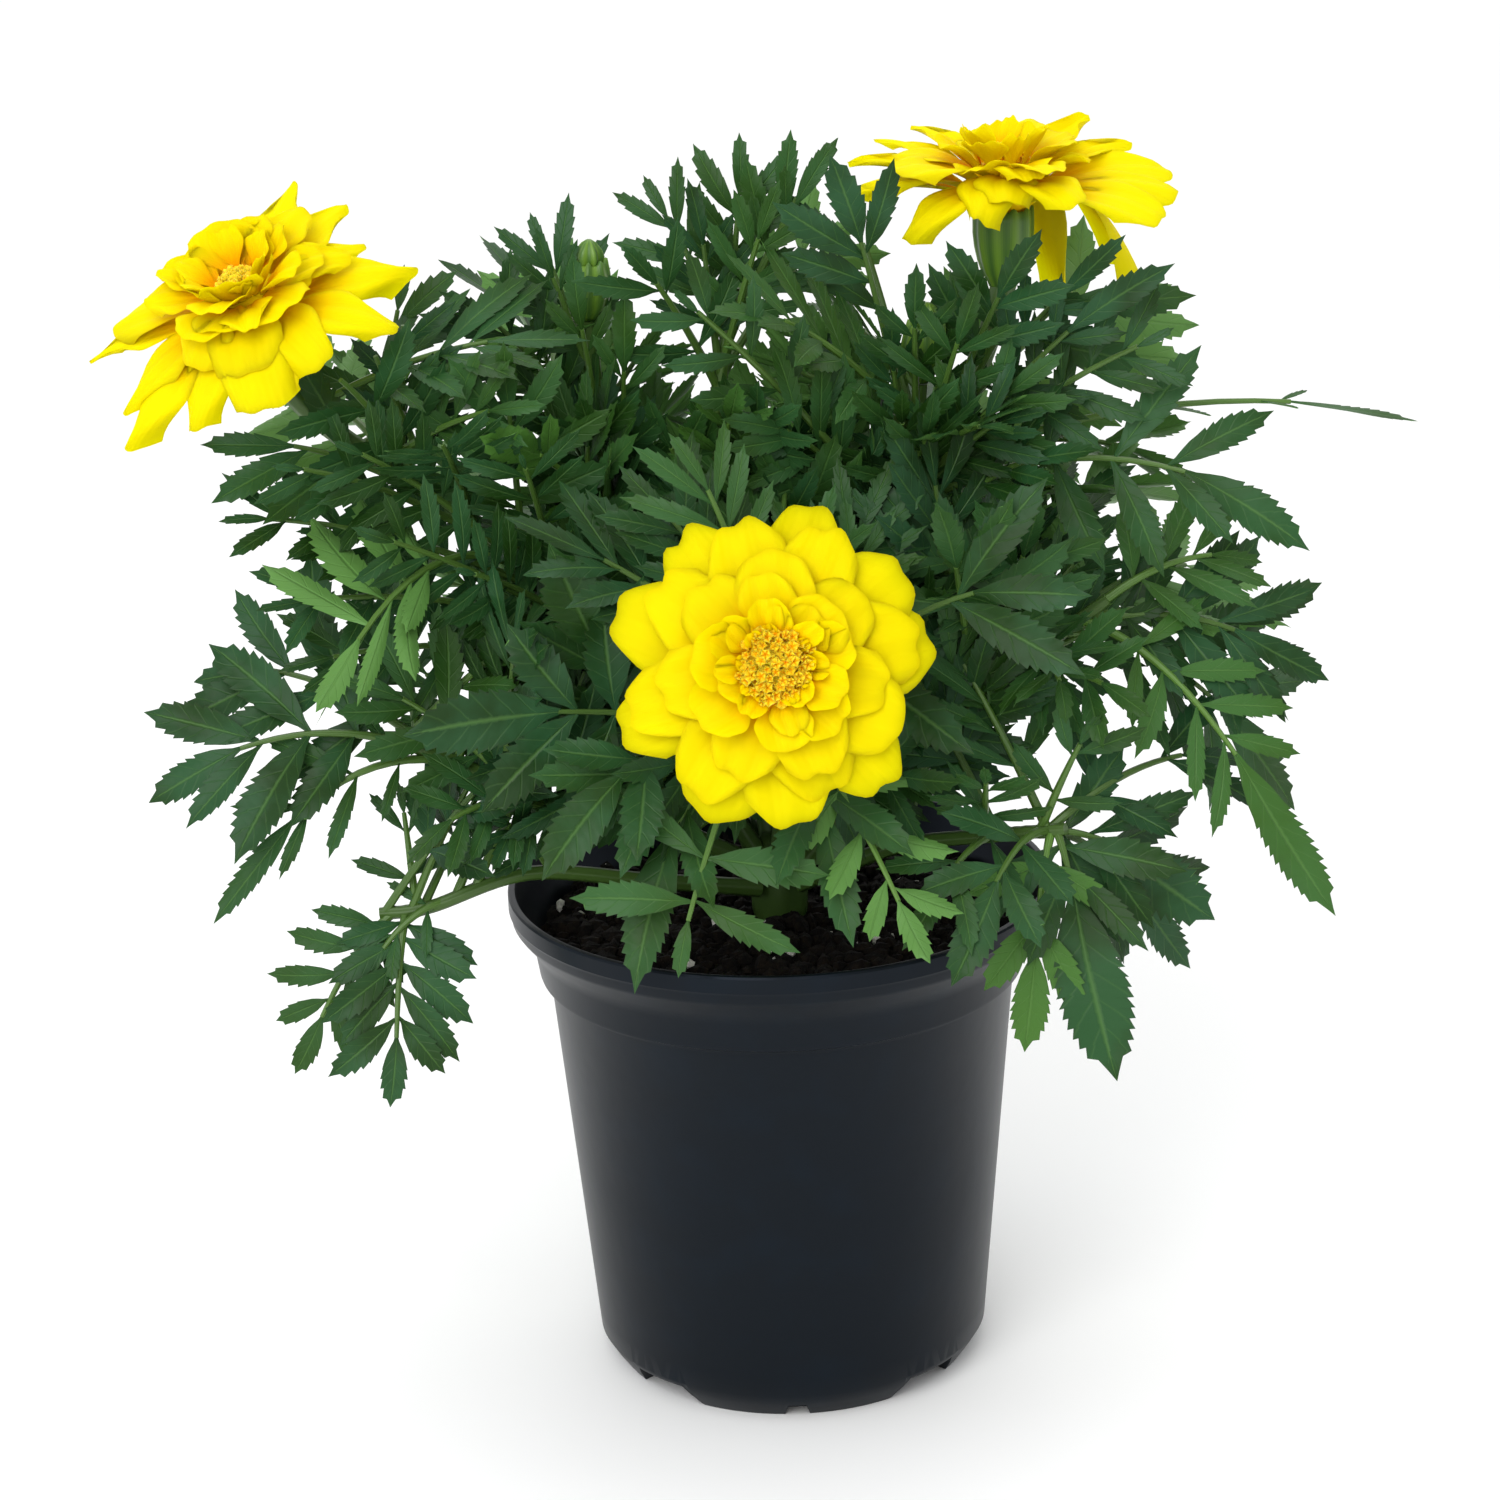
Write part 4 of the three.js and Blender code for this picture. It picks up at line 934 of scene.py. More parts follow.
def leafletRows(length, seed):
    # rows along a leaflet: place, width share on each side, how far the edge runs ahead
    plain, out = leafForm["plainBase"], leafForm["toothOut"]
    rows = [(plain * k / 4, 1.0, 1.0, 0.0) for k in range(4)]
    teeth = max(3, round((1 - plain) * length / leafForm["toothSpacing"]))
    step = (leafForm["toothedTo"] - plain) / teeth
    for k in range(teeth):
        u = plain + k * step
        depth = leafForm["toothDepth"] * (1 if k else 0.3)
        left = 1 - depth * between(0.4, 1.2, seed + k * 1.7)
        right = 1 - depth * between(0.4, 1.2, seed + k * 2.9 + 40)
        rows.append((u, left, right, 0.0))
        rows.append((u + step * leafForm["toothPeak"], out, out, leafForm["toothAhead"] * step))
    rows.append((leafForm["toothedTo"] + 0.02, 0.72, 0.72, 0.0))
    rows.append((0.95, 0.6, 0.6, 0.0))
    return rows


def addLeaflet(draft, base, out, top, length, width, tone, seed):
    # a closed toothed blade, folded along its rib, with its upper and under side
    across = top.cross(out).normalized()
    lift = out.cross(across)
    droop = between(*leafForm["droop"], seed) * length
    sway = between(*leafForm["sway"], seed + 1) * length
    wave = between(0.4, 1.2, seed + 2) * leafForm["wave"] * width
    fold = leafForm["fold"] * between(0.4, 1.4, seed + 6)
    half = 0.5 * width
    body = leafForm["thickness"] / 2
    rows = leafletRows(length, seed)
    edges, tops, unders = [], [], []
    for u, left, right, ahead in rows:
        reach = half * max(leafletHalf(u), 0.1)
        spine = base + out * (u * length) + across * (sway * u * u) - lift * (droop * u * u)

        def spot(v, shift):
            wide = reach * (left if v < 0 else right)
            rise = fold * wide * abs(v) + wave * math.sin(9 * u + seed) * v
            place = spine + across * (v * wide) + lift * (rise + shift)
            return draft.point(place + out * (ahead * length * abs(v)))

        edges.append([spot(-1, 0), spot(1, 0)])
        tops.append([spot(v, body * (1 - v * v)) for v in (-0.5, 0, 0.5)])
        unders.append([spot(v, -body * (1 - v * v)) for v in (-0.5, 0, 0.5)])
    tip = draft.point(base + out * length + across * sway - lift * droop)
    columns = (0, 0.25, 0.5, 0.75, 1)
    last = len(rows) - 1
    for side, inner in ((0, tops), (1, unders)):
        strips = [[edges[i][0], *inner[i], edges[i][1]] for i in range(len(rows))]
        for i in range(len(rows)):
            u0, u1 = rows[i][0], rows[i + 1][0] if i < last else 1
            for c in range(4):
                v0, v1 = columns[c], columns[c + 1]
                if i < last:
                    corners = [strips[i][c], strips[i + 1][c], strips[i + 1][c + 1], strips[i][c + 1]]
                    spots = ((u0, v0), (u1, v0), (u1, v1), (u0, v1))
                else:
                    corners = [strips[i][c], tip, strips[i][c + 1]]
                    spots = ((u0, v0), (1, 0.5), (u0, v1))
                marks = [(u, v, side, tone) for u, v in spots]
                if side == 1:
                    corners.reverse()
                    marks.reverse()
                draft.face(tuple(corners), 0, marks)
    # the small open foot of the blade is closed with one face
    foot = [edges[0][0], *tops[0], edges[0][1], *reversed(unders[0])]
    draft.face(tuple(foot), 0, [(0, 0.5, 0, tone)] * len(foot))


def addLeaf(draft, root, leaf, faces, seed, tone):
    _, tipPoint, pairs, lean, arch, changes = leaf
    form = {**leafForm, **changes}
    tone = form.get("tone", tone)
    tip = Vector(tipPoint)
    span = (tip - root).length
    turn = abs(lean)
    hint = (Vector(faces) * turn + up * (1 - turn)).normalized()
    at = ribFrames(root, tip, hint, lean, arch)
    broad = form["leaflet"] / span if "leaflet" in form else form["broad"][min(pairs, 5)]
    first, last = form["firstPair"], form["lastPair"]
    end = last + form["ribRunOut"] / span
    ribPoints = [at(end * k / 10)[0] for k in range(11)]
    ribRadii = [mix(*form["ribRadii"], k / 10) for k in range(11)]
    addTube(draft, ribPoints, ribRadii, 6, 1, clamp(tone + 0.35))
    step = span * (last - first) / max(pairs - 1, 1)
    for k in range(pairs):
        f = k / (pairs - 1) if pairs > 1 else 0.5
        for side in (1, -1):
            number = seed + k * 2.3 + side * 0.7
            s = mix(first, last, f) + between(-0.25, 0.25, number + 5) * step / span * 0.5
            place, along, top, across = at(s)
            spread = mix(form["open"], form["close"], f) + side * form["skew"]
            uneven = form["unevenTurn"]
            angle = math.radians(spread + between(-uneven, uneven, number))
            size = span * (broad - 0.1 * abs(f - 0.5)) * between(0.88, 1.1, number + 3)
            slim = form["slim"] * between(0.85, 1.15, number + 4)
            width = min(size * slim, form["crowding"] * step * math.sin(angle))
            out = along * math.cos(angle) + across * (side * math.sin(angle))
            out = (out + top * between(0.02, 0.2, number + 7)).normalized()
            roll = (top + out.cross(top) * (-0.2 * side)).normalized()
            start = place + across * (side * 0.4)
            if not inPetals(start + out * size) and not inPetals(start + out * (0.6 * size)):
                addLeaflet(draft, start, out, roll, size, width, tone, number)
    place, along, top, across = at(end)
    out = (tip - place).normalized()
    size = (tip - place).length
    if not inPetals(tip):
        addLeaflet(draft, place - out * 0.5, out, top, size, size * form["slim"], tone, seed + 50)


def addStem(draft, stem):
    steps = stemForm["steps"]
    foot, middle, end = stem["radii"]
    points, radii = [], []
    for i in range(steps + 1):
        t = i / steps
        points.append(curvePoint(stem["route"], t))
        radii.append(mix(foot, middle, 2 * t) if t < 0.5 else mix(middle, end, 2 * t - 1))
    # the stem swells a little where a leaf leaves it
    for leaf in stem["leaves"]:
        for i in range(steps + 1):
            away = abs(i / steps - leaf[0]) * steps
            radii[i] *= 1 + stemForm["swell"] * math.exp(-away * away)
    addTube(draft, points, radii, stemForm["sides"], 1, stemForm["tone"], stemForm["ridge"])


# Leaves that fill the heart of the plant, set out by a rule inside the space it takes up
heart = {
    "count": 180,
    "centre": (2, 4, 168),
    "reach": (96, 62, 74),
    "sink": (-0.65, 1.0),
    "shell": (0.35, 0.92),
    "length": (42, 66),
    "lowest": 108,
    "worstFit": 14,
    "bloomRoom": 40,
    "bloomFront": -34,
    "pairs": 4,
    "slim": (0.2, 0.27),
    "open": 54,
    "close": 32,
    "lean": (0.3, 0.8),
    "arch": (0.02, 0.12),
    "tone": (0.0, 0.35),
}
# The room that a head's petals take up, along its axis and about it
petalRoom = {"below": -8, "above": 9, "radius": 34}


def heartLeaves(stems):
    nodes = []
    for stem in stems:
        for k in range(6, 40):
            nodes.append((stem["name"], curvePoint(stem["route"], k / 40)))
    leaves = []
    for n in range(heart["count"]):
        turn = 2 * math.pi * chance(n * 3.1 + 1)
        sink = between(*heart["sink"], n * 5.7 + 2)
        ring = math.sqrt(max(0.0, 1 - sink * sink))
        away = between(*heart["shell"], n * 7.3 + 3)
        wish = Vector((math.cos(turn) * ring, math.sin(turn) * ring, sink))
        tip = Vector([heart["centre"][k] + wish[k] * heart["reach"][k] * away for k in range(3)])
        length = between(*heart["length"], n * 9.1 + 4)
        if tip.z < heart["lowest"] or nearBloom(tip):
            continue
        name, root = min(nodes, key=lambda node: leafFit(node[1], tip, length))
        if leafFit(root, tip, length) > heart["worstFit"]:
            continue
        outward = Vector((tip.x * 0.5, tip.y - 4, 0))
        if outward.length < 1:
            outward = Vector(toFront)
        faces = outward.normalized() * 0.7 + Vector((0, -0.5 if tip.y < 15 else 0.3, 0))
        leaves.append((name, root, tip, faces.normalized(), n))
    return leaves


def leafFit(root, tip, length):
    # how badly a root suits a tip: its distance is off, or the leaf would hang down
    span = tip - root
    return abs(span.length - length) + max(0.0, 8 - span.z) * 0.8


def nearBloom(tip):
    room = heart["bloomRoom"]
    if any((tip - Vector(head["centre"])).length < room for head in heads):
        return True
    # and nothing may hang before the bloom that faces the viewer
    front = Vector(heads[0]["centre"])
    beside = Vector((tip.x, tip.z)) - Vector((front.x, front.z))
    return tip.y < heart["bloomFront"] and beside.length < room


def inPetals(place):
    for head in heads:
        looks = Vector(head["looks"]).normalized()
        away = place - Vector(head["centre"])
        height = away.dot(looks)
        aside = (away - looks * height).length
        if petalRoom["below"] < height < petalRoom["above"] and aside < petalRoom["radius"]:
            return True
    return False


def makeLeafyStems(leafSkin, stemMaterial):
    stems = leafyStems + [backStem(stem) for stem in backStems]
    fillers = heartLeaves(stems)
    for index, stem in enumerate(stems):
        draft = Draft()
        addStem(draft, stem)
        faces = stem.get("faces", toFront)
        stemWide = uprightForm if stem["name"] in uprightStems else {}
        leaves = stem["leaves"] + moreLeaves.get(stem["name"], [])
        for i, leaf in enumerate(leaves):
            seed = 200 + index * 400 + i * 31
            # one leaf in ten is young and lighter
            tone = between(0.0, 0.3, seed + 2) if chance(seed) < 0.9 else between(0.4, 0.8, seed)
            own = leaf[5] if len(leaf) > 5 else {}
            whole = [*leaf[:5], {**stemWide, **own}]
            addLeaf(draft, curvePoint(stem["route"], leaf[0]), whole, faces, seed, tone)
        for name, root, tip, leafFaces, n in fillers:
            if name != stem["name"]:
                continue
            slim = between(*heart["slim"], n + 0.3)
            form = cut(slim=slim, open=heart["open"], close=heart["close"])
            lean, arch = between(*heart["lean"], n + 0.5), between(*heart["arch"], n + 0.7)
            leaf = [0, tip, heart["pairs"], lean, arch, form]
            tone = between(*heart["tone"], n + 0.9)
            addLeaf(draft, root, leaf, leafFaces, 9000 + n * 17, tone)
        name = stem["name"] + "_leafy_stem"
        makePiece("fine_" + name, draft, [leafSkin, stemMaterial], "leaf_green", name)
    print("leafy stems made:", len(stems), "with", len(fillers), "leaves in the heart")


# The short stem in the soil: slimmer at the foot and where the leafy stems leave its top
crownForm = {"rings": 14, "sides": 24, "swell": 0.36, "drawnIn": 0.35, "tone": 0.15, "ridge": 0.06}


def makeCrown(stemMaterial):
    draft = Draft()
    foot, top = Vector(crownStem["foot"]), Vector(crownStem["top"])
    steps = [k / crownForm["rings"] for k in range(crownForm["rings"] + 1)]
    points = [foot.lerp(top, s) for s in steps]
    radii = []
    for s in steps:
        swell = 0.7 + crownForm["swell"] * math.sin(math.pi * clamp(s * 0.62 + 0.1))
        swell -= crownForm["drawnIn"] * max(0, s - 0.85) / 0.15
        radii.append(crownStem["radius"] * swell * between(0.95, 1.04, s * 40))
    addTube(draft, points, radii, crownForm["sides"], 0, crownForm["tone"], crownForm["ridge"])
    makePiece("fine_crown_stem", draft, [stemMaterial], "crown_bark", "crown_stem")
    print("crown stem made")


# Loose petals of the two heads seen from the side, about the head's axis: the outer ones, and on
# the left head a few that stand about its middle. Each is: turn in degrees, reach, height of the
# tip over the petals' plane, width, arch, how pointed the tip is.
leftPetals = [
    (75, 34, 6, 12, 0.05, 0.65), (45, 31, 3, 12, 0.1, 0.7), (28, 26, 1, 10, 0.12, 0.4),
    (5, 33, -2, 12, 0.1, 0.75), (-28, 33, -1, 11, 0.1, 0.5), (-52, 26, 0, 12, 0.12, 0.15),
    (-72, 25, -3, 12, 0.12, 0.1), (-90, 28, -2, 14, 0.12, 0.05), (-88, 21, 2, 15, 0.14, 0.05),
    (-120, 27, -6, 12, 0.12, 0.5), (-125, 19, 3, 13, 0.14, 0.3), (-140, 35, -8, 11, 0.12, 0.7),
    (-155, 31, -4, 11, 0.12, 0.7), (177, 35, -3, 11, 0.1, 0.85), (163, 29, 1, 14, 0.12, 0.2),
    (138, 25, 1, 8, 0.1, 0.6), (112, 20, 4, 12, 0.1, 0.1), (88, 20, 6, 13, 0.1, 0.1),
    (10, 22, 5, 11, 0.14, 0.5), (-55, 18, 9.5, 15, 0.02, 0.1), (-105, 16, 9.5, 13, 0.02, 0.1),
    (-88, 9.5, 15.5, 13, 0, 0.1), (-40, 9, 13.5, 10, 0, 0.2), (-140, 10, 13.5, 11, 0, 0.2),
    (100, 12, 15, 14, 0, 0.1), (58, 11, 13, 10, 0, 0.3), (150, 12, 13, 11, 0, 0.2),
    (-12, 15, 8, 12, 0, 0.2),
]
rightPetals = [
    (15, 35, 4, 12, 0.1, 0.2), (-8, 34, 2, 12, 0.1, 0.15), (-32, 35, -1, 13, 0.1, 0.1),
    (22, 31, -17, 14, 0.25, 0.5), (42, 17, -21, 13, 0.3, 0.5), (33, 31, 9, 8, 0.1, 0.8),
    (52, 28, 14, 10, 0.05, 0.7), (75, 25, 13, 13, 0.1, 0.2), (102, 25, 11, 12, 0.1, 0.3),
    (122, 29, 12, 9, 0.1, 0.6), (140, 31, 10, 9, 0.1, 0.6), (155, 34, 6, 8, 0.1, 0.9),
    (180, 33, 2, 9, 0.1, 0.8), (-160, 30, 5, 12, 0.1, 0.4), (-148, 26, 8, 15, 0.12, 0.1),
    (-132, 29, -4, 11, 0.14, 0.6), (-110, 23, 0, 12, 0.16, 0.5), (-90, 20, 3, 13, 0.12, 0.3),
    (-62, 27, 3, 12, 0.12, 0.3), (-75, 19, 7, 12, 0.16, 0.3),
]
# Whorls of petals from the outside in, of the open head and inside the loose petals of the others.
# Each is: count, reach, width, height of the root, rise to the tip, droop of the tip.
openWhorls = [
    (9, 31.5, 17.5, 0, 0.8, 3.0),
    (8, 27.5, 16.5, 1.8, 2.2, 2.4),
    (7, 22.5, 15.0, 3.4, 3.6, 1.8),
    (7, 17.5, 12.0, 4.8, 4.8, 1.0),
    (6, 13.4, 9.0, 5.9, 5.0, 0.4),
    (7, 10.2, 6.2, 6.4, 4.6, -0.6),
    (9, 8.4, 3.4, 6.9, 3.6, -0.8),
]
sideWhorls = [
    (6, 20.0, 13.5, 4.0, 5.0, 1.6),
    (5, 15.0, 12.0, 5.2, 6.6, 0.6),
    (6, 10.0, 7.0, 6.2, 6.6, -0.4),
]
# Flower heads: the middle of the petals, the way the head looks, its whorls and loose petals, how
# much more the whorls rise while the flower is opening, how wavy the inner petals are, how much
# of the disc is open, and how far the loose petals turn their upper face to the front
heads = [
    {
        "name": "front",
        "centre": (0, -58, 166),
        "looks": (0, -0.947, 0.322),
        "seed": 11,
        "whorls": openWhorls,
        "loose": [],
        "moreRise": 0,
        "ruffle": 0.5,
        "discShare": 1.0,
    },
    {
        "name": "left",
        "centre": (-98, -6, 224),
        "looks": (-0.24, -0.4, 0.885),
        "seed": 47,
        "whorls": sideWhorls,
        "loose": leftPetals,
        "moreRise": 1,
        "ruffle": 0.1,
        "discShare": 0.45,
        "showFace": 0.2,
    },
    {
        "name": "right",
        "centre": (48.5, 17, 236.5),
        "looks": (0.02, 0.05, 1),
        "seed": 83,
        "whorls": sideWhorls,
        "loose": rightPetals,
        "moreRise": 1,
        "ruffle": 0.1,
        "discShare": 0.7,
        "showFace": 0.4,
    },
]
# A petal is narrow at the root, rounded at the end and lightly folded along its length
petalForm = {
    "start": 4.2,
    "thickness": 0.5,
    "rows": 18,
    "columns": 14,
    "rootWidth": 0.17,
    "widest": 0.64,
    "roundEnd": 0.24,
    "cup": 0.1,
    "folds": 0.28,
    "foldCount": 2.6,
}
core = {"radius": 7.2, "height": 7.4, "stalk": 4.6, "foot": -9}
calyx = {"height": 17, "radius": 5.9, "neck": 2.7, "ridges": 10, "ridgeDepth": 0.035, "teeth": 0.7}
disc = {"florets": 64, "radius": 6.6, "tall": (1.4, 3.6), "gap": 0.35, "dome": 2.2}
goldenAngle = 2.39996


def addPetal(draft, turn, angle, reach, width, rise, number, warmthAndHeartShade, taper, curl, dent, tilt=0.0):
    # the blade lies at an angle about the head's axis; rise gives its height along the middle
    form = petalForm
    out = Vector((math.cos(angle), math.sin(angle), 0))
    across = Vector((-math.sin(angle), math.cos(angle), 0))
    rows, columns, start, widest = form["rows"], form["columns"], form["start"], form["widest"]
    ripple = 0.3 * dent
    dent, dentAt = between(-0.01, dent, number + 4), between(-0.35, 0.35, number + 5)
    phase, twist = 6.28 * chance(number + 6), tilt + between(-0.12, 0.12, number + 8)
    sway = between(-0.08, 0.08, number + 9)

    def middle(u, v):
        share = mix(form["rootWidth"], 1, smooth(0, widest, u)) - taper * smooth(widest, 1, u)
        half = 0.5 * width * share
        far = u * (1 - form["roundEnd"] * abs(v) ** 2.7 * u)
        far -= dent * math.exp(-(((v - dentAt) / 0.25) ** 2)) * u**6
        far += ripple * math.sin(7 * v + phase) * u**4
        fold = form["folds"] * math.cos(form["foldCount"] * math.pi * v)
        height = rise(u) + fold * smooth(0.1, 0.6, u)
        height += form["cup"] * width * v * v * (1 - u) ** 0.7 * smooth(0, 0.2, u)
        height += curl * width * v * v * u * u
        height += 0.8 * math.sin(3.4 * v + phase) * u**3 * abs(v) + twist * width * v * u * 0.5
        run = start + far * (reach - start)
        return out * run + across * (v * half + sway * reach * u * u) + up * height

    def spot(i, j, side):
        u, v = i / rows, 2 * j / columns - 1
        body = form["thickness"] / 2 * (1 - v**4) * (1 - u**6) * smooth(0, 0.1, u)
        along = middle(min(u + 0.01, 1), v) - middle(max(u - 0.01, 0), v)
        normal = along.cross(middle(u, v + 0.02) - middle(u, v - 0.02)).normalized()
        return turn @ (middle(u, v) + normal * (body * side))

    top = [[draft.point(spot(i, j, 1)) for j in range(columns + 1)] for i in range(rows + 1)]
    low = []
    for i in range(rows + 1):
        rim = i in (0, rows)
        low.append([
            top[i][j] if rim or j in (0, columns) else draft.point(spot(i, j, -1))
            for j in range(columns + 1)
        ])
    # both sides are cut along the same diagonals, so they never cross, and these run towards the
    # petal's corners, so no triangle lies on the rim alone
    for i in range(rows):
        for j in range(columns):
            a, b, c, d = (i, j), (i + 1, j), (i + 1, j + 1), (i, j + 1)
            turned = (2 * j < columns) == (2 * i >= rows)
            for spots in ((a, b, d), (b, c, d)) if turned else ((a, b, c), (a, c, d)):
                for side, grid in ((0, top), (1, low)):
                    ordered = spots if side == 0 else spots[::-1]
                    marks = [(m / rows, n / columns, side, warmthAndHeartShade) for m, n in ordered]
                    draft.face(tuple(grid[m][n] for m, n in ordered), 0, marks)


def addWhorl(draft, turn, whorl, w, head):
    count, fullReach, fullWidth, root, fullRise, droop = whorl
    seed = head["seed"]
    inner = w > 2 or bool(head["loose"])
    for k in range(count):
        index = k + w * 0.37
        number = seed + w * 101 + index * 7
        uneven = 2.4 if inner else 1
        angle = 2 * math.pi * (index + uneven * between(-0.14, 0.14, number)) / count
        reach = fullReach * (1 + uneven * between(-0.07, 0.05, number + 1))
        width = fullWidth * (1 + uneven * between(-0.08, 0.06, number + 2))
        drop = droop * between(0.6, 1.5, number + 3)
        foot = root + (math.floor(index) % 2) * 0.9
        lift = fullRise + head["moreRise"]

        def rise(u):
            return foot + lift * u * (1.6 - 0.6 * u) - drop * u**3

        # the inner petals are small and ruffled, each its own way
        ruffle = head["ruffle"] if inner else 0.06
        curl = between(-0.4 * ruffle, ruffle, number + 11)
        taper = between(0.1, 0.5, number + 12) if head["loose"] else 0.1
        # inner whorls take more orange: partly their own colour, partly painted warm shade in the heart
        warmthAndHeartShade = 0.14 * (w + 2) if head["loose"] else 0.14 * w
        dent = 0.02 if head["loose"] else 0.06
        addPetal(draft, turn, angle, reach, width, rise, number, warmthAndHeartShade, taper, curl, dent)


def addLoosePetal(draft, turn, item, number, showFace):
    degrees, reach, tipHeight, width, arch, point = item
    root = clamp(6 * (1 - (reach - 16) / 18), 0, 6)
    climb = tipHeight - root
    span = math.hypot(reach - petalForm["start"], climb)

    def rise(u):
        return root + climb * u + 4 * arch * span * u * (1 - u)

    # shorter petals nearer the heart take more orange: partly their own colour, partly painted warm
    # shade
    warmthAndHeartShade = 0.3 * clamp((34 - reach) / 16)
    curl = between(-0.16, 0.12, number + 11)
    # petals to the left and right turn their upper face a little to the front
    side = math.cos(math.radians(degrees))
    tilt = showFace * (side if side > 0 else 0.3 * side)
    addPetal(draft, turn, math.radians(degrees), reach, width, rise, number, warmthAndHeartShade, point,
             curl, 0.02, tilt)


def makePetals(head, turn, name, skin):
    draft = Draft()
    for w, whorl in enumerate(head["whorls"]):
        addWhorl(draft, turn, whorl, w, head)
    for k, item in enumerate(head["loose"]):
        addLoosePetal(draft, turn, item, head["seed"] + 700 + k * 13, head["showFace"])
    # the solid core that the petals stand on, and the stalk under it
    foot, height = core["foot"], core["height"]
    stand = [
        (0, foot), (core["stalk"] - 0.9, foot), (core["stalk"], -1), (core["radius"] - 0.6, 0.4),
        (core["radius"] - 0.6, height - 1), (core["radius"] - 2, height), (0, height),
    ]
    addTurned(draft, stand, 40, 0.9, turn)
    makePiece("fine_" + name + "_petals", draft, [skin], "petal_yellow", name + "_petals")


def makeDisc(head, turn, name, skin):
    draft = Draft()
    foot = core["height"] + disc["gap"]
    wide = disc["radius"] * head["discShare"]
    crown = foot + disc["dome"]
    dome = [(0, foot), (wide - 0.8, foot), (wide - 1.4, foot + 1.1), (3, foot + 2.0), (0, crown)]
    addTurned(draft, dome, 32, 0.0, turn)
    for i in range(disc["florets"]):
        share = math.sqrt((i + 0.4) / disc["florets"])
        angle = i * goldenAngle
        radius = wide * share * 0.94
        number = head["seed"] + i * 3.3
        out = Vector((math.cos(angle), math.sin(angle), 0))
        base = out * radius + up * (foot + 0.4 + 1.4 * (1 - share * share))
        rise = between(*disc["tall"], number) * mix(0.8, 1.1, share) * head["discShare"]
        sway = Vector((between(-0.5, 0.5, number + 1), between(-0.5, 0.5, number + 2), 0))
        end = base + up * rise + out * (0.1 * radius) + sway
        addFloret(draft, turn, base, end, number)
    makePiece("fine_" + name + "_disc", draft, [skin], "disc_gold", name + "_disc")


def makeCalyx(head, name, skin):
    draft = Draft()
    looks = Vector(head["looks"]).normalized()
    stand = lookAlong(Vector(head["centre"]) - looks * calyx["height"], head["looks"])
    cup = cupProfile(calyx["height"], calyx["radius"], calyx["neck"])
    addTurned(draft, cup, 80, 0.3, stand, calyx["ridges"], calyx["ridgeDepth"], calyx["teeth"])
    makePiece("fine_" + name + "_calyx", draft, [skin], "calyx_green", name + "_calyx")


def makeBloom(head, petalSkin, floretSkin, calyxSkin):
    turn = lookAlong(head["centre"], head["looks"])
    name = head["name"] + "_bloom"
    makePetals(head, turn, name, petalSkin)
    makeDisc(head, turn, name, floretSkin)
    makeCalyx(head, name, calyxSkin)


def cupProfile(height, radius, neck):
    # the calyx from its foot up the outside, over the rim and down to the floor of the cup
    return [
        (0, 0), (neck * 0.8, 0), (neck, 0.5), (neck + 0.3, height * 0.08),
        (neck + 1.5, height * 0.2), (radius - 0.9, height * 0.34), (radius - 0.3, height * 0.5),
        (radius, height * 0.66), (radius, height * 0.8), (radius - 0.1, height - 1.4),
        (radius - 0.6, height - 1.2), (core["stalk"] + 0.35, height - 1.8),
        (core["stalk"] - 0.55, height * 0.45), (0, height * 0.45),
    ]


# One floret: share of its length and radius of each ring, and how light each ring is; the rings
# darken towards the foot, partly the floret's own gold and partly painted shade between florets
floretForm = {
    "sides": 10,
    "rings": ((0, 0.32), (0.6, 0.42), (0.88, 0.75), (1.0, 1.05)),
    "shades": (0.15, 0.35, 0.7, 1.0),
    "size": (0.9, 1.5),
}


def addFloret(draft, turn, base, end, seed):
    # a tube that opens into five curled lobes
    sides = floretForm["sides"]
    along = (end - base).normalized()
    helper = Vector((1, 0, 0)) if abs(along.x) < 0.8 else Vector((0, 1, 0))
    normal = along.cross(helper).normalized()
    binormal = along.cross(normal)
    length = (end - base).length
    size = between(*floretForm["size"], seed + 3)
    tone = between(-0.3, 0.25, seed + 4)
    # darker towards the foot: painted shade down between the crowded florets over the floret's own gold
    shade = [clamp(step + tone) for step in floretForm["shades"]]
    rings = []
    for k, (share, radius) in enumerate(floretForm["rings"]):
        ring = []
        for j in range(sides):
            angle = 2 * math.pi * j / sides + seed
            lobe = 1 if j % 2 == 0 else 0.62
            wide = radius * size * (lobe if k == 3 else 1)
            curl = (0.12 if j % 2 == 0 else -0.22) if k == 3 else 0
            place = base + along * (length * share - curl * length)
            place = place + normal * (math.cos(angle) * wide) + binormal * (math.sin(angle) * wide)
            ring.append(draft.point(turn @ place))
        rings.append(ring)
    bottom = draft.point(turn @ base)
    throat = draft.point(turn @ (base + along * (length * 0.7)))
    for j in range(sides):
        n = (j + 1) % sides
        for k in range(3):
            corners = (rings[k][j], rings[k][n], rings[k + 1][n], rings[k + 1][j])
            marks = [(shade[k], 0, 0, 0)] * 2 + [(shade[k + 1], 0, 0, 0)] * 2
            draft.face(corners, 0, marks)
        draft.face((bottom, rings[0][n], rings[0][j]), 0, [plainMark] * 3)
        marks = [plainMark, (0.9, 0, 0, 0), (0.9, 0, 0, 0)]
        draft.face((throat, rings[3][j], rings[3][n]), 0, marks)


# Flower buds: foot of the bud and the way it points
bud = {"height": 14, "radius": 4.4, "neck": 1.6, "tip": 5.5}
buds = [
    {"name": "middle", "foot": (31, 5, 204), "looks": (0.1, -0.1, 1)},
    {"name": "top", "foot": (-34, 13, 217), "looks": (0.05, -0.1, 1)},
]


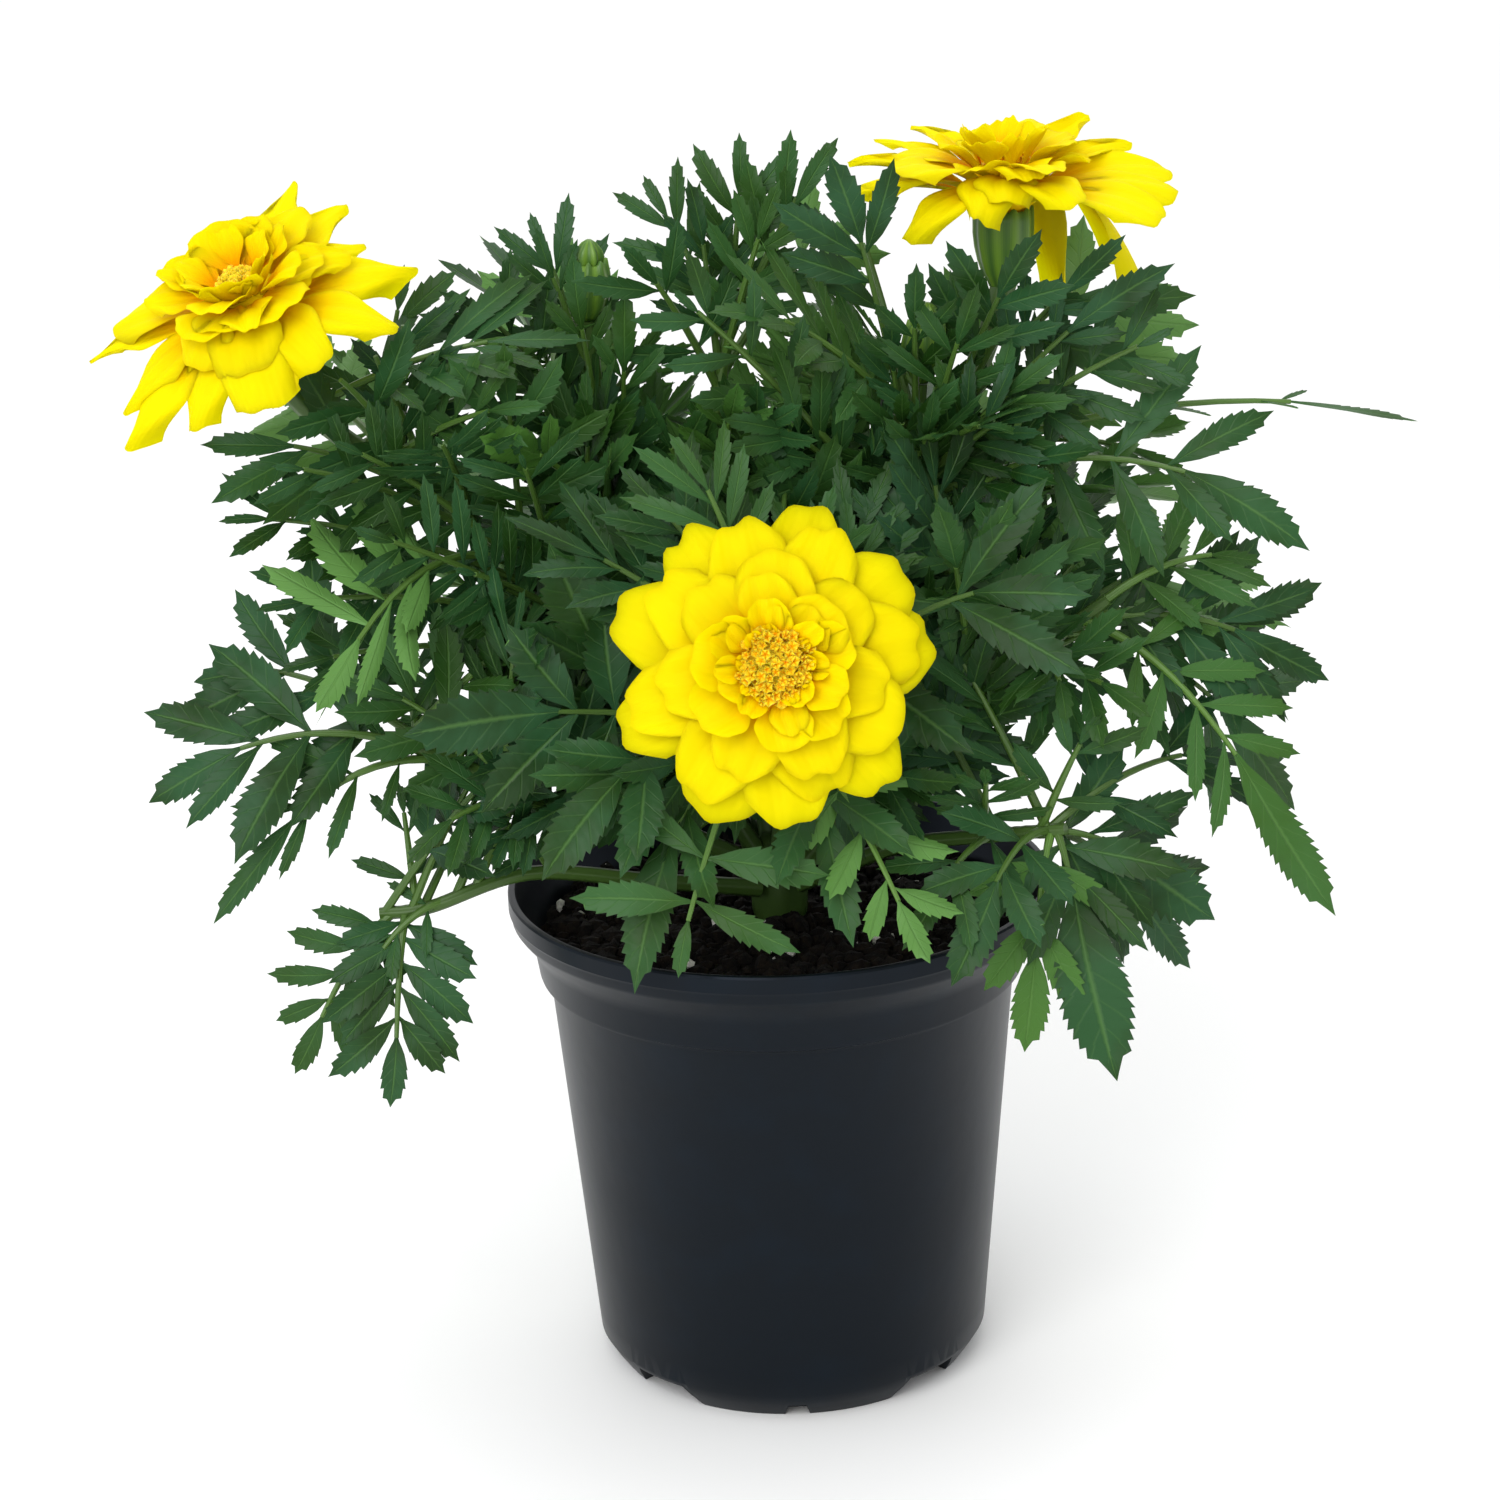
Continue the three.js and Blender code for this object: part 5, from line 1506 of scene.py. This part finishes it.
def makeBud(item, skin):
    stand = lookAlong(item["foot"], item["looks"])
    radius, rim = bud["radius"], bud["height"] * 0.82
    cup = [
        (0, 0), (bud["neck"], 0), (bud["neck"] + 0.5, 0.8), (radius * 0.85, bud["height"] * 0.22),
        (radius, bud["height"] * 0.5), (radius * 0.93, bud["height"] * 0.68), (radius * 0.8, rim),
        (radius * 0.8 - 0.5, rim + 0.2), (radius * 0.8 - 0.8, rim), (radius * 0.45, rim - 4),
        (0, rim - 4),
    ]
    draft = Draft()
    addTurned(draft, cup, 60, 0.5, stand, ridges=8, depth=0.05, teeth=1.0)
    name = item["name"] + "_bud"
    makePiece("fine_" + name + "_calyx", draft, [skin], "calyx_green", name + "_calyx")
    # the furled petals, still green
    tip = bud["tip"]
    furled = [
        (0, rim - 3.6), (radius * 0.4, rim - 3.6), (radius * 0.8 - 1.2, rim),
        (radius * 0.62, rim + tip * 0.25), (radius * 0.52, rim + tip * 0.5),
        (radius * 0.3, rim + tip * 0.75), (radius * 0.12, rim + tip * 0.86), (0, rim + tip * 0.86),
    ]
    draft = Draft()
    addTurned(draft, furled, 60, 0.6, stand, ridges=6, depth=0.14)
    makePiece("fine_" + name + "_petals", draft, [skin], "bud_yellow_green", name + "_petals")


# The pot, as radius and height pairs up the outside and up the inside
potForm = {
    "sides": 160,
    "sharp": 28,
    "wall": 1.3,
    "outside": [
        (0, 0), (36.2, 0), (36.6, 0.4), (38.6, 3.2), (40.3, 6), (40.7, 10.5), (43.8, 45), (47.3, 83.6),
        (47.7, 84.4), (49.3, 85.2), (49.5, 85.8), (50.3, 91), (51.6, 93.6), (54, 96.5), (54.6, 97.4),
        (54.8, 98.8), (55.2, 99.5), (55.2, 102.5), (54.9, 102.9), (54.35, 103),
    ],
    "inside": [
        (53.8, 102.9), (53.5, 102.4), (52.7, 97.5), (49, 91.6), (46, 85), (42.5, 45.5), (39, 6),
        (37.2, 1.4), (0, 1.4),
    ],
    "wideNotch": {"width": 18, "crown": 12.5, "height": 5, "inner": 26, "turn": 45},
    "smallNotch": {"width": 5.6, "crown": 3.6, "height": 3, "inner": 33, "turn": 0},
    "drain": {"radius": 3, "away": 30.5},
}


def looseBody(name, draft):
    # a body that is only used to cut or join others
    mesh = bpy.data.meshes.new(name)
    mesh.from_pydata(draft.points, [], draft.faces)
    body = bpy.data.objects.new(name, mesh)
    bpy.context.scene.collection.objects.link(body)
    return body


def combine(body, tool, operation):
    # applies one boolean to the body's mesh and throws the tool away
    modifier = body.modifiers.new(operation.lower(), "BOOLEAN")
    modifier.operation = operation
    modifier.solver = "MANIFOLD"
    modifier.object = tool
    bpy.context.view_layer.update()
    graph = bpy.context.evaluated_depsgraph_get()
    mesh = bpy.data.meshes.new_from_object(body.evaluated_get(graph))
    body.modifiers.clear()
    body.data = mesh
    bpy.data.objects.remove(tool)


def notchBlocks(notch, margin):
    # four slant-sided blocks about the foot, grown by the margin
    draft = Draft()
    half, halfCrown = notch["width"] / 2 + margin, notch["crown"] / 2 + margin
    low, high = (0.0 if margin > 0 else -1.0), notch["height"] + margin
    near, far = notch["inner"] - margin, 60
    for k in range(4):
        turn = Matrix.Rotation(math.radians(notch["turn"] + 90 * k), 3, "Z")
        ring = []
        for y in (near, far):
            for x, z in ((-half, low), (half, low), (halfCrown, high), (-halfCrown, high)):
                ring.append(draft.point(turn @ Vector((x, y, z))))
        a, b, c, d, e, f, g, h = ring
        for face in ((a, b, c, d), (h, g, f, e), (a, e, f, b), (b, f, g, c), (c, g, h, d), (d, h, e, a)):
            draft.face(face, 0, [plainMark] * 4)
    return looseBody("notch blocks", draft)


def turnedBody(name, profile, sides, place=Matrix.Identity(4)):
    draft = Draft()
    addTurned(draft, profile, sides, 0, place)
    return looseBody(name, draft)


def makePot(plastic):
    outside, inside = potForm["outside"], potForm["inside"]
    pot = turnedBody("fine_pot", outside + inside, potForm["sides"])
    # the wall goes round each wide notch, so it is added before the notch is cut
    bosses = notchBlocks(potForm["wideNotch"], potForm["wall"])
    filled = turnedBody("filled", outside[:8] + [(0, 83.6)], potForm["sides"])
    combine(bosses, filled, "INTERSECT")
    combine(pot, bosses, "UNION")
    combine(pot, notchBlocks(potForm["wideNotch"], 0), "DIFFERENCE")
    combine(pot, notchBlocks(potForm["smallNotch"], 0), "DIFFERENCE")
    wide, away = potForm["drain"]["radius"], potForm["drain"]["away"]
    for k in range(4):
        turn = math.radians(45 + 90 * k)
        place = Matrix.Translation((away * math.sin(turn), away * math.cos(turn), -4))
        drain = turnedBody("drain", [(0, 0), (wide, 0), (wide, 14), (0, 14)], 24, place)
        combine(pot, drain, "DIFFERENCE")
    mesh = pot.data
    mesh.transform(Matrix.Scale(mm, 4))
    mesh.materials.clear()
    mesh.materials.append(plastic)
    mesh.polygons.foreach_set("use_smooth", [True] * len(mesh.polygons))
    mesh.set_sharp_from_angle(angle=math.radians(potForm["sharp"]))
    mesh.update()
    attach(pot, "root")
    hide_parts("pot")
    print("pot made:", len(mesh.polygons), "faces")


# Soil: crumbly peat with grains of perlite on top
soilForm = {
    "top": 93.4,
    "edge": 49.6,
    "edgeDrop": 1.2,
    "foot": 6.65,
    "under": [(45.6, 85), (38.7, 6.65)],
    "rings": 44,
    "sides": 132,
    "crumbs": 1500,
    "crumbSize": (0.5, 2.0),
    "grains": 70,
    "grainSize": (0.7, 1.7),
}
# the corners and faces of an icosahedron
golden = (1 + math.sqrt(5)) / 2
lumpCorners = [
    (-1, golden, 0), (1, golden, 0), (-1, -golden, 0), (1, -golden, 0), (0, -1, golden),
    (0, 1, golden), (0, -1, -golden), (0, 1, -golden), (golden, 0, -1), (golden, 0, 1),
    (-golden, 0, -1), (-golden, 0, 1),
]
lumpSides = [
    (0, 11, 5), (0, 5, 1), (0, 1, 7), (0, 7, 10), (0, 10, 11), (1, 5, 9), (5, 11, 4),
    (11, 10, 2), (10, 7, 6), (7, 1, 8), (3, 9, 4), (3, 4, 2), (3, 2, 6), (3, 6, 8),
    (3, 8, 9), (4, 9, 5), (2, 4, 11), (6, 2, 10), (8, 6, 7), (9, 8, 1),
]


def soilHeight(x, y):
    spot = Vector((x, y, 0))
    rough = 1.3 * noise.noise(spot * 0.09) + 0.9 * noise.noise(spot * 0.27)
    return soilForm["top"] + rough + 0.5 * noise.noise(spot * 0.8)


def addLump(draft, place, size, seed, kind):
    # an icosahedron pushed out of shape
    stretch = Vector([between(0.7, 1.3, seed + k) for k in range(3)])
    points = []
    for k, corner in enumerate(lumpCorners):
        push = size * between(0.75, 1.2, seed + 5 + k * 1.7) / 1.9
        points.append(draft.point(place + Vector([corner[i] * stretch[i] * push for i in range(3)])))
    for a, b, c in lumpSides:
        draft.face((points[a], points[b], points[c]), kind, [(0, 0, 0, chance(seed))] * 3)


def soilRing(draft, radius, heightAt):
    row = []
    for j in range(soilForm["sides"]):
        angle = 2 * math.pi * j / soilForm["sides"]
        x, y = radius * math.cos(angle), radius * math.sin(angle)
        row.append(draft.point((x, y, heightAt(x, y))))
    return row


def makeSoil(peatSkin, perliteSkin):
    draft = Draft()
    rings, sides = soilForm["rings"], soilForm["sides"]
    rows = []
    for i in range(1, rings + 1):
        drop = soilForm["edgeDrop"] * smooth(0.9, 1, i / rings)
        radius = soilForm["edge"] * i / rings
        rows.append(soilRing(draft, radius, lambda x, y: soilHeight(x, y) - drop))
    for radius, level in soilForm["under"]:
        rows.append(soilRing(draft, radius, lambda x, y: level))
    middle = draft.point((0, 0, soilHeight(0, 0)))
    bottom = draft.point((0, 0, soilForm["foot"]))
    for j in range(sides):
        n = (j + 1) % sides
        draft.face((middle, rows[0][j], rows[0][n]), 0, [plainMark] * 3)
        draft.face((bottom, rows[-1][n], rows[-1][j]), 0, [plainMark] * 3)
        for i in range(len(rows) - 1):
            draft.face((rows[i][j], rows[i + 1][j], rows[i + 1][n], rows[i][n]), 0, [plainMark] * 4)
    for n in range(soilForm["crumbs"] + soilForm["grains"]):
        grain = n >= soilForm["crumbs"]
        radius = (soilForm["edge"] - 2) * math.sqrt(chance(n * 1.37 + 2))
        angle = 2 * math.pi * chance(n * 2.11 + 5)
        x, y = radius * math.cos(angle), radius * math.sin(angle)
        if grain:
            size = between(*soilForm["grainSize"], n * 3.7)
        else:
            size = between(*soilForm["crumbSize"], n * 1.9) ** 1.3
        place = Vector((x, y, soilHeight(x, y) + size * 0.25))
        addLump(draft, place, size, n * 7.7, 1 if grain else 0)
    makePiece("fine_soil", draft, [peatSkin, perliteSkin], "potting_soil", "soil", smooth=False)
    print("soil made with", soilForm["crumbs"], "crumbs and", soilForm["grains"], "perlite grains")


# Studio: where the camera stands and how the light falls
studio = {
    "target": (-5.05, 0, 130.3),
    "elevation": 18.8,
    "distance": 850,
    "roll": -1.96,
    "lens": 101.4,
    "film": 36,
    "world": 0.74,
    "floor": {"plain": "#fafaf9", "roughness": 0.9},
    "floorHalf": 6,
    "lightsAim": (0, 0, 120),
    "lights": [
        {"name": "key", "place": (-350, -1000, 800), "size": 900, "power": 11},
        {"name": "left side", "place": (-900, 60, 350), "size": 700, "power": 1.0,
         "colour": "#dfe9ff"},
        {"name": "right side", "place": (900, 60, 350), "size": 700, "power": 0.55,
         "colour": "#dfe9ff"},
        {"name": "top", "place": (100, 300, 1100), "size": 900, "power": 3.5},
        {"name": "far floor", "place": (0, 2300, 1300), "size": 1800, "power": 10,
         "target": (0, 2300, 0)},
    ],
}


def makeCamera():
    lift = math.radians(studio["elevation"])
    ahead = Vector((0, math.cos(lift), -math.sin(lift)))
    right = Vector((1, 0, 0))
    above = right.cross(ahead)
    roll = math.radians(studio["roll"])
    tiltedRight = right * math.cos(roll) + above * math.sin(roll)
    tiltedUp = above * math.cos(roll) - right * math.sin(roll)
    lens = bpy.data.cameras.new("studio camera")
    lens.lens = studio["lens"]
    lens.sensor_width = studio["film"]
    lens.clip_start = 0.01
    camera = bpy.data.objects.new("studio camera", lens)
    bpy.context.scene.collection.objects.link(camera)
    turn = Matrix((tiltedRight, tiltedUp, -ahead)).transposed()
    place = (Vector(studio["target"]) - ahead * studio["distance"]) * mm
    camera.matrix_world = Matrix.Translation(place) @ turn.to_4x4()
    bpy.context.scene.camera = camera


def makeStudio():
    for item in studio["lights"]:
        light = bpy.data.lights.new(item["name"], "AREA")
        light.energy = item["power"]
        light.size = item["size"] * mm
        light.color = colour(item.get("colour", "#ffffff"))[:3]
        holder = bpy.data.objects.new(item["name"], light)
        bpy.context.scene.collection.objects.link(holder)
        place = Vector(item["place"])
        target = Vector(item.get("target", studio["lightsAim"]))
        holder.location = place * mm
        holder.rotation_euler = (target - place).to_track_quat("-Z", "Y").to_euler()
    world = bpy.data.worlds.new("white surround")
    world.use_nodes = True
    background = world.node_tree.nodes["Background"]
    background.inputs["Color"].default_value = (1, 1, 1, 1)
    background.inputs["Strength"].default_value = studio["world"]
    bpy.context.scene.world = world
    bpy.context.scene.view_settings.view_transform = "Standard"  # keeps the yellow full
    mesh = bpy.data.meshes.new("studio floor")
    half = studio["floorHalf"]
    corners = [(-half, -half, 0), (half, -half, 0), (half, half, 0), (-half, half, 0)]
    mesh.from_pydata(corners, [], [(0, 1, 2, 3)])
    floor = bpy.data.objects.new("studio floor", mesh)
    bpy.context.scene.collection.objects.link(floor)
    paint, tree = newMaterial("mattFloorPaint")
    finishMaterial(tree, studio["floor"], {})
    mesh.materials.append(paint)
    print("studio ready with", len(studio["lights"]), "lights")


# The making
makeCamera()
makeStudio()
leafMaterial = makeLeafBlade()
stemMaterial = makeStemSkin()
petalMaterial = makeVelvetPetal()
floretMaterial = makeWaxyFloret()
calyxMaterial = makeRidgedCalyx()
makePot(makeFormedPlastic())
makeSoil(makeScreenedPeat(), makePuffedPerlite())
makeCrown(stemMaterial)
makeLeafyStems(leafMaterial, stemMaterial)
for head in heads:
    makeBloom(head, petalMaterial, floretMaterial, calyxMaterial)
for item in buds:
    makeBud(item, calyxMaterial)
print("blooms made:", len(heads), "and buds:", len(buds))
